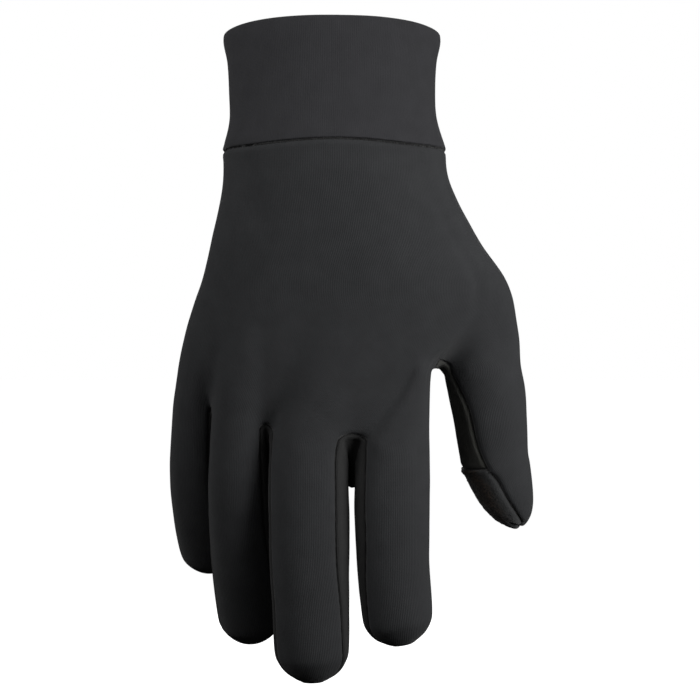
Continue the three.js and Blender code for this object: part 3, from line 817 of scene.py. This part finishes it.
# Dents and folds, each along a line from one end to the other, seen from the front
BACK_FOLDS = rows(
    "x1 z1 x2 z2 width depth",
    (-33.0, -45.5, -26.0, -66.0, 4.5, 0.5),  # the hollow under the cuff on the little side
    (-24.5, -105.0, -24.0, -138.0, 4.0, 0.45),  # between the ring and middle knuckles
    (-40.5, -114.0, -42.7, -132.0, 3.2, 0.3),  # between the little and ring knuckles
    (7.0, -128.0, 7.3, -141.0, 3.2, 0.3),  # between the middle and index knuckles
    (31.0, -120.0, 15.5, -143.5, 4.0, -1.0),  # fuller between the thumb's crotch and the index finger
    (36.4, -43.5, 25.5, -51.0, 0.9, 0.14),  # tension lines on the thumb side
    (37.8, -46.5, 28.0, -56.0, 0.9, 0.14),
    (39.0, -50.0, 32.0, -60.0, 0.9, 0.12),
    (36.5, -57.0, 43.5, -55.0, 0.9, 0.12),
    (38.0, -62.0, 45.5, -60.5, 0.9, 0.12),
)
PALM_FOLDS = rows(
    "x1 z1 x2 z2 width depth",
    (36.0, -70.0, 20.0, -92.0, 3.0, 0.8),  # round the ball of the thumb
    (20.0, -92.0, 14.0, -118.0, 3.0, 0.8),
    (-48.0, -128.0, -12.0, -131.0, 2.4, 0.6),  # across the palm under the fingers
    (-12.0, -131.0, 24.0, -126.0, 2.4, 0.6),
    (-58.0, -167.0, -38.0, -167.0, 1.6, 0.5),  # the fingers' joints
    (-58.0, -181.0, -36.0, -181.0, 1.4, 0.35),
    (-43.0, -172.0, -22.0, -172.0, 1.6, 0.5),
    (-42.0, -196.0, -19.0, -196.0, 1.4, 0.35),
    (-21.0, -178.0, 6.0, -178.0, 1.6, 0.5),
    (-20.0, -206.0, 6.0, -206.0, 1.4, 0.35),
    (9.0, -176.0, 34.0, -176.0, 1.6, 0.5),
    (10.0, -200.0, 35.0, -200.0, 1.4, 0.35),
    (46.0, -146.0, 70.0, -146.0, 1.6, 0.4),
)


FOLD_FACING = 0.4  # a fold is full where the cloth faces its side at least this much


def folds(co, normal, table, side):
    """Height of these folds, on the cloth that faces side: -1 for the back, 1 for the palm."""
    facing = rise(normal[:, 1] * side, 0, FOLD_FACING)
    height = np.zeros(len(co))
    for fold in table:
        start = np.array([fold["x1"], fold["z1"]])
        reach = np.array([fold["x2"], fold["z2"]]) - start
        here = co[:, [0, 2]] - start
        share = np.clip(here @ reach / (reach @ reach), 0, 1)
        away = np.linalg.norm(here - share[:, None] * reach, axis=1)
        height -= fold["depth"] * bell(away / fold["width"])
    return height * facing


PUFF_AT = 1.4  # in widths of the groove
GROOVE_POWER = 1.6


def groove(distance, shape):
    """Height beside a seam: down into the seam, and a slight puff beside it."""
    inside = 1 - rise(distance, 0, shape["width"])
    puff = bell(distance / shape["width"] - PUFF_AT)
    return shape["puff"] * puff * (distance > 0) - shape["depth"] * inside**GROOVE_POWER


# Ridges and valleys along a seam
THUMB_WELT = {"at": 1.5, "width": 0.85, "height": 0.8}
THUMB_VALLEY = {"at": 4.0, "width": 1.3, "height": -1.3}
PILE_LIP = {"at": 0.9, "width": 0.8, "height": 0.7}  # along the patch's upper edge

# Where some details start and over how many millimetres they rise
WELT_TOP = (118.0, 12)  # down from the cuff's mouth
WELT_BOTTOM = (-153.0, 6)
WEB_EDGE = (0.7, 2)
WEB_FACING = (0.2, 0.4)
PILE_EDGE = (0, 2)
CUFF_SEAM_LEFT = (22, 8)  # towards the little side, where the cuff's seam is deeper

THUMB_SEAM_PART = (56, 22)  # the part of the thumb's seam with a smaller x and y has the welt
PILE = {"height": 0.25, "raise": 0.25, "grain": 1.0}
WEB_SINK = 1.8
WEB_BOTTOM = -165.0
THUMB_WEB = {"middle": (37.8, -118.0), "reach": 9.0, "least": 0.15}  # where the seam's groove is shallow
CUFF_SEAM = {"deeper": 1.2, "grain": 1.6, "uneven": 0.7}
BODY_WAVES = rows("size height", (9, 0.14), (24, 0.2))
CUFF_WAVES = rows("size height", (11, 0.18), (30, 0.25))
FRONT_FACING = 0.3
FAR = 99.0  # stands for a distance that is too great to measure


def ridge(distance, shape):
    return shape["height"] * bell((distance - shape["at"]) / shape["width"])


def waves(place, table):
    """The cloth's slight unevenness at a place."""
    return sum(wave["height"] * noise.noise(place / wave["size"]) for wave in table)


def on_panels(fine, *panels):
    """Which points belong to these panels."""
    found = np.zeros(len(fine["co"]), dtype=bool)
    found[fine["quads"][np.isin(fine["panel"], panels)]] = True
    return found


def beside(fine, sewn, pair, where, rings):
    """Each point's distance from the seam between two panels, as far as that lies where it may."""
    edges = [edge[:2] for edge in sewn if {edge[2], edge[3]} == pair and where[edge[0]]]
    distance, _ = spread_from(fine, np.array(edges), rings)
    return np.minimum(distance, FAR)


def thumb_relief(fine, sewn):
    """The welt and the fold beside the thumb's inner seam."""
    co = fine["co"]
    where = (co[:, :2] < THUMB_SEAM_PART).all(axis=1)
    distance = beside(fine, sewn, {BACK, THUMB_INNER}, where, rings=14)
    share = rise(-co[:, 2], *WELT_TOP) * rise(co[:, 2], *WELT_BOTTOM) * on_panels(fine, THUMB_INNER)
    return (ridge(distance, THUMB_WELT) + ridge(distance, THUMB_VALLEY)) * share


def sunk_webs(fine, by_seam):
    """The webs between the fingers, drawn in behind the seams round them."""
    webs = on_panels(fine, RING_LITTLE, MIDDLE_RING, INDEX_MIDDLE) & (fine["co"][:, 2] > WEB_BOTTOM)
    return -WEB_SINK * rise(by_seam, *WEB_EDGE) * rise(-fine["normal"][:, 2], *WEB_FACING) * webs


def relief(fine, sewn, open_end):
    """Height of the real cloth over the smooth skin, in millimetres."""
    co, normal = fine["co"], fine["normal"]
    by_seam, _ = spread_from(fine, sewn[:, :2], rings=8)
    by_cuff, _ = spread_from(fine, open_end, rings=10)
    crotch = np.linalg.norm(co[:, [0, 2]] - THUMB_WEB["middle"], axis=1)
    height = groove(by_seam, GROOVE) * np.clip(crotch / THUMB_WEB["reach"], THUMB_WEB["least"], 1)
    left = rise(-co[:, 0], *CUFF_SEAM_LEFT) * (normal[:, 1] < 0)
    uneven = np.array([noise.noise(Vector(p) / CUFF_SEAM["grain"]) for p in co])
    deeper = (1 + CUFF_SEAM["deeper"] * left) * (1 + CUFF_SEAM["uneven"] * uneven)
    height += groove(by_cuff, CUFF_GROOVE) * deeper
    height += sunk_webs(fine, by_seam)
    height += folds(co, normal, BACK_FOLDS, -1) + folds(co, normal, PALM_FOLDS, 1)
    height += thumb_relief(fine, sewn)
    height += [waves(Vector(p), BODY_WAVES) for p in co]
    patch = on_panels(fine, TIP_PATCH)
    grain = np.array([noise.noise(Vector(p) / PILE["grain"]) for p in co[patch]])
    front = normal[:, 1] < FRONT_FACING
    by_top = beside(fine, sewn, {THUMB_INNER, TIP_PATCH}, front, rings=6)[patch]
    height[patch] += rise(by_seam[patch], *PILE_EDGE) * (PILE["raise"] + PILE["height"] * grain)
    height[patch] += (1 + grain) * ridge(by_top, PILE_LIP)
    return height


def seam_distances(fine, sewn, open_end):
    """Each point's distance from the nearest seam, and from the patch's front seam, for the painted seam
    shade and the patch's partly painted lit strip.
    """
    by_seam, by_cuff = (spread_from(fine, edges, rings=4)[0] for edges in (sewn[:, :2], open_end))
    front = fine["normal"][:, 1] < FRONT_FACING
    by_patch = beside(fine, sewn, {BACK, TIP_PATCH}, front, rings=12)
    return np.stack([np.minimum(by_seam, by_cuff).clip(max=FAR), by_patch], axis=1)


def make_mesh(name, places, faces, cloth, seams, slots, materials):
    """One piece from its places in millimetres, its quads or rings, and where they lie on the cloth.

    seams holds each place's two distances from seams, which the materials use for the painted shade
    along the seams and for the patch's partly painted lit strip.
    """
    mesh = bpy.data.meshes.new(name)
    mesh.from_pydata((np.asarray(places) * MM).tolist(), [], [list(map(int, face)) for face in faces])
    mesh.polygons.foreach_set("use_smooth", [True] * len(faces))
    for material in materials:
        mesh.materials.append(material)
    mesh.polygons.foreach_set("material_index", slots)
    corners = read(mesh.loops, "vertex_index", 1, int).ravel()
    for layer, values in (("cloth", np.asarray(cloth)), ("seams", np.asarray(seams)[corners])):
        mesh.uv_layers.new(name=layer).data.foreach_set("uv", values.astype(float).ravel())
    mesh.validate()
    return add_object(name, mesh)


WALL_GIVE = 0.8  # only deeper dents show on the inside too


def panel_piece(fine, height, seams, panel, materials):
    """A panel as a closed wall, its edges drawn back a little from the seams."""
    chosen = fine["panel"] == panel
    corners, cloth = fine["quads"][chosen], fine["cloth"][chosen]
    ids, local = np.unique(corners, return_inverse=True)
    local = local.reshape(-1, 4)
    count = len(ids)
    base, normal = fine["co"][ids], fine["normal"][ids]
    outer = base + normal * height[ids, None]
    inner = base + normal * (np.minimum(height[ids, None] + WALL_GIVE, 0) - WALL)

    starts, ends = quad_edges(local)
    known = set(zip(starts.tolist(), ends.tolist()))
    rim = [i for i, (a, b) in enumerate(zip(starts, ends)) if (b, a) not in known]
    middles = base[local].mean(axis=1)
    inward, weight = np.zeros_like(base), np.zeros(count)
    for column in range(4):
        np.add.at(inward, local[:, column], middles)
        np.add.at(weight, local[:, column], 1)
    inward = inward / weight[:, None] - base
    edge = np.unique(np.concatenate([starts[rim], ends[rim]]))
    pull = unit(inward[edge]) * CUT_GAP
    outer[edge] += pull
    inner[edge] += pull

    flat = cloth.reshape(-1, 2)
    after = np.roll(cloth, -1, axis=1).reshape(-1, 2)
    rims = [(ends[i], starts[i], starts[i] + count, ends[i] + count) for i in rim]
    rim_cloth = [(after[i], flat[i], flat[i], after[i]) for i in rim]
    faces = [*local, *(local[:, ::-1] + count), *rims]
    laid = np.concatenate([cloth, cloth[:, ::-1], np.array(rim_cloth)])
    slots = [0] * len(local) + [1] * len(local) + [0] * len(rims)
    places = np.concatenate([outer, inner])
    near = np.concatenate([seams[ids], seams[ids]])
    return make_mesh(PANELS[panel] + "_cloth", places, faces, laid, near, slots, materials)


# The cuff
CUFF_STEPS = 264  # round the cuff, and then down its outside and up its inside
CUFF_OUTSIDE = 44
CUFF_INSIDE = 26
CUFF_ROLL = 10  # steps round the folded rim
CUFF_TURN_IN = {"radius": 0.7, "steps": 5}  # its sewn edge
CUFF_LEDGE = 0.6  # between the sewn edge and the inside
CUFF_STEEP = {"from": 0.55, "fade": 0.3, "height": 3, "in": 0.9}  # the edge's left end, pulled in
CUFF_AROUND = 30  # millimetres of the cuff's palm side for a radian
CUFF_MIDDLE = 20  # how far down the cuff its way round is measured
CUFF_CLOSING = {"depth": 0.55, "width": 1.1, "puff": 0.25}  # the seam down its palm side


def cuff_profile():
    """Distance down the cuff and outward, from the rim down the outside and up the inside."""
    radius, turn_in, steps = CUFF_WALL / 2, CUFF_TURN_IN["radius"], CUFF_TURN_IN["steps"]
    edge = [math.pi / 2 * i / steps for i in range(steps + 1)]
    outside = [mix(radius, CUFF_LENGTH - turn_in, i / CUFF_OUTSIDE) for i in range(1, CUFF_OUTSIDE)]
    inside = [mix(CUFF_LENGTH - CUFF_LEDGE, radius, i / CUFF_INSIDE) for i in range(CUFF_INSIDE)]
    roll = [math.pi * (1 - i / CUFF_ROLL) for i in range(CUFF_ROLL + 1)]
    return [
        *((at, 0.0) for at in outside),
        *((CUFF_LENGTH - turn_in * (1 - math.sin(a)), -turn_in * (1 - math.cos(a))) for a in edge),
        (CUFF_LENGTH, -CUFF_WALL + CUFF_LEDGE),
        *((at, -CUFF_WALL) for at in inside),
        *((radius * (1 - math.sin(a)), radius * (math.cos(a) - 1)) for a in roll),
    ]


def cuff_piece(materials):
    profile = cuff_profile()
    turns = [2 * math.pi * step / CUFF_STEPS for step in range(CUFF_STEPS + 1)]
    middles = [cuff_point(turn, CUFF_MIDDLE, 0) for turn in turns]
    across = running([(b - a).length for a, b in zip(middles, middles[1:])])
    down = running([math.dist(a, b) for a, b in zip(profile, profile[1:])])
    places, near = [], []
    for turn in turns[:-1]:
        from_seam = abs(turn - math.pi) * CUFF_AROUND
        seam = float(groove(np.array(from_seam), CUFF_CLOSING))
        left = clamp((-math.sin(turn) - CUFF_STEEP["from"]) / CUFF_STEEP["fade"]) * (math.cos(turn) > 0)
        for at, outward in profile:
            close = clamp(1 - (CUFF_LENGTH - at) / CUFF_STEEP["height"]) ** 2
            outside = clamp(1 + outward / CUFF_WALL)
            uneven = waves(cuff_point(turn, at, outward), CUFF_WAVES)
            moved = outward + uneven + (seam - CUFF_STEEP["in"] * left * close) * outside
            places.append(cuff_point(turn, at, moved))
            # distances from the cuff's seams, where its knit gets painted shade
            near.append((min(CUFF_LENGTH - at, from_seam), FAR))
    count = len(profile)
    faces, cloth = [], []
    for step in range(CUFF_STEPS):
        here, there = step * count, (step + 1) % CUFF_STEPS * count
        left, right = across[step : step + 2]
        for i in range(count):
            j = (i + 1) % count
            low = down[j] if j else down[i] + 1
            faces.append((here + i, here + j, there + j, there + i))
            cloth.append(((left, down[i]), (left, low), (right, low), (right, down[i])))
    return make_mesh("cuff_cloth", places, faces, cloth, near, [0] * len(faces), materials)


# Sewing thread in the bottom of each seam
THREAD = {"sides": 6, "stitch": 1.3, "swell": 1 / 3}
BODY_THREAD = {"sunk": 0.25, "radius": 0.3}
CUFF_THREAD = {"sunk": 0.2, "radius": 0.4}


def chains(edges):
    """Edges as lists of points in order, each ending where three seams meet or where it started."""
    links = {}
    for a, b in edges.tolist():
        links.setdefault(a, []).append(b)
        links.setdefault(b, []).append(a)
    left = {tuple(sorted(edge)) for edge in edges.tolist()}
    starts = [p for p in links if len(links[p]) != 2] + list(links)
    found = []
    for start in starts:
        for first in links[start]:
            chain = [start]
            here, there = start, first
            while tuple(sorted((here, there))) in left:
                left.discard(tuple(sorted((here, there))))
                chain.append(there)
                if len(links[there]) != 2:
                    break
                onward = [p for p in links[there] if p != here]
                here, there = there, onward[0] if onward else here
            if len(chain) > 1:
                found.append(chain)
    return found


def add_thread(places, outs, radius, body):
    """A tube along these places, added to body, which holds places, faces and cloth coordinates."""
    sides = THREAD["sides"]
    first = len(body["places"])
    ahead = unit(np.gradient(places, axis=0))
    side = unit(np.cross(ahead, outs))
    out = np.cross(side, ahead)
    along = running(np.linalg.norm(np.diff(places, axis=0), axis=1))
    for i, place in enumerate(places):
        swell = 1 + THREAD["swell"] * math.sin(2 * math.pi * along[i] / THREAD["stitch"])
        for k in range(sides):
            angle = 2 * math.pi * k / sides
            away = out[i] * math.cos(angle) + side[i] * math.sin(angle)
            body["places"].append(place + away * radius * swell)
    for i in range(len(places) - 1):
        for k in range(sides):
            a, b = first + i * sides + k, first + i * sides + (k + 1) % sides
            body["faces"].append((a, b, b + sides, a + sides))
            body["cloth"] += [(k, along[i]), (k + 1, along[i]), (k + 1, along[i + 1]), (k, along[i + 1])]
    last = first + (len(places) - 1) * sides
    for ring in ([first + k for k in reversed(range(sides))], [last + k for k in range(sides)]):
        body["faces"].append(ring)
        body["cloth"] += [(0, 0)] * sides


def thread_piece(fine, height, sewn, open_end, materials):
    body = {"places": [], "faces": [], "cloth": []}
    for edges, kind in ((sewn[:, :2], BODY_THREAD), (open_end, CUFF_THREAD)):
        for chain in chains(edges):
            outs = fine["normal"][chain]
            places = fine["co"][chain] + outs * (height[chain] - kind["sunk"])[:, None]
            add_thread(places, outs, kind["radius"], body)
    places, faces = body["places"], body["faces"]
    near, slots = [(0.0, 0.0)] * len(places), [0] * len(faces)
    return make_mesh("seam_thread", places, faces, body["cloth"], near, slots, materials)


class Look:
    """A material's nodes, made a few at a time."""

    def __init__(self, name):
        self.material = bpy.data.materials.new(name)
        self.material.use_nodes = True
        self.nodes = self.material.node_tree.nodes
        self.links = self.material.node_tree.links
        self.shader = self.nodes["Principled BSDF"]

    def set(self, node, name, value):
        """An input's value, which is a number, a colour or another node's output."""
        if isinstance(value, bpy.types.NodeSocket):
            self.links.new(value, node.inputs[name])
        else:
            node.inputs[name].default_value = value

    def add(self, kind, inputs, **settings):
        node = self.nodes.new("ShaderNode" + kind)
        for name, value in settings.items():
            setattr(node, name, value)
        for name, value in inputs.items():
            self.set(node, name, value)
        return node

    def math(self, operation, a, b=0.0):
        return self.add("Math", {0: a, 1: b}, operation=operation).outputs[0]

    def weigh(self, *shares):
        """The sum of these values, each times its share."""
        total = self.math("MULTIPLY", *shares[0])
        for value, share in shares[1:]:
            total = self.math("ADD", total, self.math("MULTIPLY", value, share))
        return total

    def wave(self, operation, turns):
        return self.math(operation, self.math("MULTIPLY", turns, 2 * math.pi))

    def noise(self, scale, detail):
        """Noise over the glove itself, with its scale in cycles a metre."""
        place = self.add("TexCoord", {}).outputs["Object"]
        return self.add("TexNoise", {"Vector": place, "Scale": scale, "Detail": detail}).outputs["Fac"]

    def numbers(self, layer):
        """A layer's two numbers, in millimetres: places on the flat cloth, or distances from seams."""
        place = self.add("UVMap", {}, uv_map=layer).outputs["UV"]
        return self.add("SeparateXYZ", {0: place}).outputs[:2]

    def ramp(self, value, start, end):
        return self.add("MapRange", {0: value, 1: start, 2: end}).outputs[0]

    def blend(self, share, low, high):
        return self.add("Mix", {0: share, 6: low, 7: high}, data_type="RGBA").outputs[2]

    def shades(self, share, colour, low, high):
        """From colour times low to colour times high."""
        return self.blend(share, tone(colour, low), tone(colour, high))

    def seam_shaded(self, cloth, colour):
        """The cloth's colour with painted shade in the groove along each seam, whose border is ragged.
        """
        distance, _ = self.numbers("seams")
        ragged = self.math("SUBTRACT", self.noise(scale=900, detail=3), 0.5)
        away = self.weigh((distance, 1), (ragged, SEAM_SHADE["ragged"]))
        return self.blend(self.ramp(away, 0, SEAM_SHADE["width"]), tone(colour, SEAM_SHADE["dark"]), cloth)

    def paint(self, colour):
        self.set(self.shader, "Base Color", colour)

    def bump(self, height, distance, strength):
        """Bumps of this height, with the distance in metres."""
        node = self.add("Bump", {"Strength": strength, "Distance": distance, "Height": height})
        self.set(self.shader, "Normal", node.outputs[0])

    def finish(self, roughness, sheen, sheen_roughness, specular):
        self.set(self.shader, "Roughness", roughness)
        self.set(self.shader, "Sheen Weight", sheen)
        self.set(self.shader, "Sheen Roughness", sheen_roughness)
        self.set(self.shader, "Specular IOR Level", specular)
        return self.material


WALE = 0.62  # between the knit's columns of stitches
COURSE = 0.48  # between its rows
STITCH_SLANT = 1.1  # how many rows a stitch rises over a column
SEAM_SHADE = {"width": 0.45, "ragged": 0.6, "dark": 0.3}  # painted shade in the groove along a seam
GREY_LIT_STRIP = {"width": 3.2, "fade": 2.4, "ragged": 1.2}  # a greyer strip of the patch beside its front seam: partly the pile's own grey, partly painted light where that side faces the lamps
GREY_LIT_COLOUR = (0.032, 0.033, 0.034)
WARM = (2.8, 2.1, 1.6)  # the pile's tips are browner than the rest of it
OLIVE_AND_PAINTED_LIGHT = (1.95, 1.95, 1.75)  # the thumb's inner side is greener than the other strips, and painted paler as painted light for the light its shaded side doesn't get


def tone(colour, share):
    """A colour times this share, or times one share for each channel."""
    return (*np.multiply(colour, share), 1.0)


def knit(name, colour):
    """Fine plain knit: columns of small V stitches, slightly mottled."""
    look = Look(name)
    across, along = look.numbers("cloth")
    column = look.math("FRACT", look.math("DIVIDE", across, WALE))
    valley = look.math("ABSOLUTE", look.math("SUBTRACT", column, 0.5))
    row = look.math("DIVIDE", along, COURSE)
    stitch = look.wave("SINE", look.weigh((row, 1), (valley, STITCH_SLANT)))
    fuzz = look.noise(scale=2600, detail=3)
    height = look.weigh((look.wave("COSINE", valley), 0.5), (stitch, 0.28), (fuzz, 0.9))
    share = look.weigh((look.noise(scale=160, detail=4), 0.6), (fuzz, 0.25), (height, 0.12))
    # painted shade darkens the knit in the groove along each seam
    look.paint(look.seam_shaded(look.shades(share, colour, low=0.72, high=1.3), colour))
    look.bump(height, distance=0.0001, strength=0.55)
    return look.finish(roughness=0.86, sheen=0.1, sheen_roughness=0.45, specular=0.22)


def fleece(name, colour):
    """The brushed inside of the cloth."""
    look = Look(name)
    soft = look.noise(scale=900, detail=5)
    look.paint(look.shades(soft, colour, low=0.6, high=1.5))
    look.bump(soft, distance=0.0004, strength=0.8)
    return look.finish(roughness=0.95, sheen=0.35, sheen_roughness=0.6, specular=0.1)


def pile(name, colour):
    """Short brown-black pile with a grip."""
    look = Look(name)
    tuft = look.noise(scale=1400, detail=4)
    spots = look.weigh((tuft, 0.65), (look.noise(scale=420, detail=3), 0.35))
    brown = look.blend(look.ramp(spots, 0.4, 0.64), tone(colour, 0.15), tone(colour, WARM))
    # greyer strip beside the front seam: partly the pile's own tone, partly painted light on the side
    # lit by the lamps
    _, from_front = look.numbers("seams")
    lit_reach = look.weigh((from_front, 1), (spots, GREY_LIT_STRIP["ragged"]))
    beyond = look.ramp(lit_reach, GREY_LIT_STRIP["width"], GREY_LIT_STRIP["width"] + GREY_LIT_STRIP["fade"])
    grey_lit = look.shades(tuft, GREY_LIT_COLOUR, low=0.8, high=1.2)
    # painted shade darkens the pile in the groove along each seam
    look.paint(look.seam_shaded(look.blend(beyond, grey_lit, brown), colour))
    look.bump(spots, distance=0.0005, strength=0.9)
    return look.finish(roughness=0.9, sheen=0.3, sheen_roughness=0.5, specular=0.2)


def thread(name, colour):
    """Twisted sewing thread."""
    look = Look(name)
    across, along = look.numbers("cloth")
    height = look.wave("SINE", look.weigh((along, 1.6), (across, 0.35)))
    share = look.math("ADD", look.math("MULTIPLY", height, 0.3), 0.5)
    look.paint(look.shades(share, colour, low=0.3, high=0.7))
    look.bump(height, distance=0.00008, strength=0.6)
    return look.finish(roughness=0.7, sheen=0.2, sheen_roughness=0.5, specular=0.3)


def colour_of(slot):
    """A slot's base colour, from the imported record."""
    return next(m["base_color"] for m in frame["record"]["materials"] if m["slot"] == slot)


KNITS = ("body_knit", "palm_knit", "strip_knit", "cuff_knit")
SLOTS = {BACK: "body_knit", PALM: "palm_knit", TIP_PATCH: "grip_pile"}  # the other panels are strips


def build_glove():
    build_skin()
    ease_skin()
    fine = fine_skin()
    edges, open_end = seam_edges(fine)
    height = relief(fine, edges, open_end)
    seams = seam_distances(fine, edges, open_end)

    inside = fleece("fleece_inside", colour_of("palm_knit"))
    looks = {slot: knit(slot, colour_of(slot)) for slot in KNITS}
    looks["grip_pile"] = pile("grip_pile", colour_of("grip_pile"))
    # the thumb's inner panel: a greener knit, painted paler as painted light where it lies in shade
    lit_olive = knit("thumb_inner_lit_knit", np.multiply(colour_of("strip_knit"), OLIVE_AND_PAINTED_LIGHT))
    for panel, node in enumerate(PANELS):
        slot = SLOTS.get(panel, "strip_knit")
        outside = lit_olive if panel == THUMB_INNER else looks[slot]
        piece = panel_piece(fine, height, seams, panel, [outside, inside])
        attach(piece, "root")
        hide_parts(node)
    cuff = cuff_piece([looks["cuff_knit"]])
    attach(cuff, "root")
    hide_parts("cuff")
    sewing = thread("seam_thread", colour_of("strip_knit"))
    threads = thread_piece(fine, height, edges, open_end, [sewing])
    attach(threads, "root")


def add_camera():
    data = bpy.data.cameras.new("camera")
    data.lens = data.sensor_width / 2 / (PHOTO_SIZE / 2 * PIXEL / CAMERA_BACK)
    data.clip_end = 100
    camera = add_object("camera", data)
    camera.location = Vector((CAMERA_X, -CAMERA_BACK, CAMERA_Z)) * MM
    camera.rotation_euler = (math.pi / 2, 0, 0)
    bpy.context.scene.camera = camera


WHITE = (1, 1, 1, 1)
FLOOR_LEVEL = -0.3
FLOOR_SIZE = 40.0
FLOOR = {
    "Base Color": (0.5, 0.5, 0.5, 1),
    "Roughness": 1.0,
    "Emission Color": WHITE,
    "Emission Strength": 1.0,
}


def add_stage():
    """A plain pale floor well under the glove, bright enough to run into the white background."""
    mesh = bpy.data.meshes.new("floor")
    half = FLOOR_SIZE / 2
    corners = [(-half, -half), (half, -half), (half, half), (-half, half)]
    mesh.from_pydata([(x, y, FLOOR_LEVEL) for x, y in corners], [], [(0, 1, 2, 3)])
    look = Look("floor")
    for name, value in FLOOR.items():
        look.set(look.shader, name, value)
    mesh.materials.append(look.material)
    floor = add_object("floor", mesh)
    floor.visible_diffuse = False
    floor.visible_glossy = False


FILL = 0.01


def add_world():
    """White to look at, and a weak fill on the glove."""
    world = bpy.data.worlds.new("world")
    world.use_nodes = True
    nodes, links = world.node_tree.nodes, world.node_tree.links
    fill, seen = nodes["Background"], nodes.new("ShaderNodeBackground")
    for background in (fill, seen):
        background.inputs["Color"].default_value = WHITE
    fill.inputs["Strength"].default_value = FILL
    path = nodes.new("ShaderNodeLightPath")
    either = nodes.new("ShaderNodeMixShader")
    links.new(path.outputs["Is Camera Ray"], either.inputs[0])
    links.new(fill.outputs[0], either.inputs[1])
    links.new(seen.outputs[0], either.inputs[2])
    links.new(either.outputs[0], nodes["World Output"].inputs["Surface"])
    bpy.context.scene.world = world


GLOVE_MIDDLE = (0.006, 0, -0.112)
# Soft lights round the glove, at a reach in metres from its middle. Azimuth 0 is the camera's side
# and 90 the thumb's, in degrees.
LIGHTS = rows(
    "name azimuth elevation reach size power",
    ("key", 60, 10, 0.5, 0.3, 2.1),
    ("key_high", 50, 30, 0.5, 0.3, 0.3),
    ("front", -18, 10, 0.5, 0.3, 0.15),
    ("fill_left", -50, 35, 0.5, 0.3, 1.15),
    ("back", 180, 20, 1.3, 0.9, 6.0),
)


def add_lights():
    for light in LIGHTS:
        azimuth, elevation = math.radians(light["azimuth"]), math.radians(light["elevation"])
        level = math.cos(elevation)
        away = Vector((math.sin(azimuth) * level, -math.cos(azimuth) * level, math.sin(elevation)))
        data = bpy.data.lights.new(light["name"], "AREA")
        data.shape = "DISK"
        data.size = light["size"]
        data.energy = light["power"]
        lamp = add_object(light["name"], data)
        lamp.location = Vector(GLOVE_MIDDLE) + away * light["reach"]
        lamp.rotation_mode = "QUATERNION"
        lamp.rotation_quaternion = (-away).to_track_quat("-Z", "Y")


add_camera()
build_glove()
add_stage()
add_world()
add_lights()
bpy.context.scene.view_settings.view_transform = "Standard"
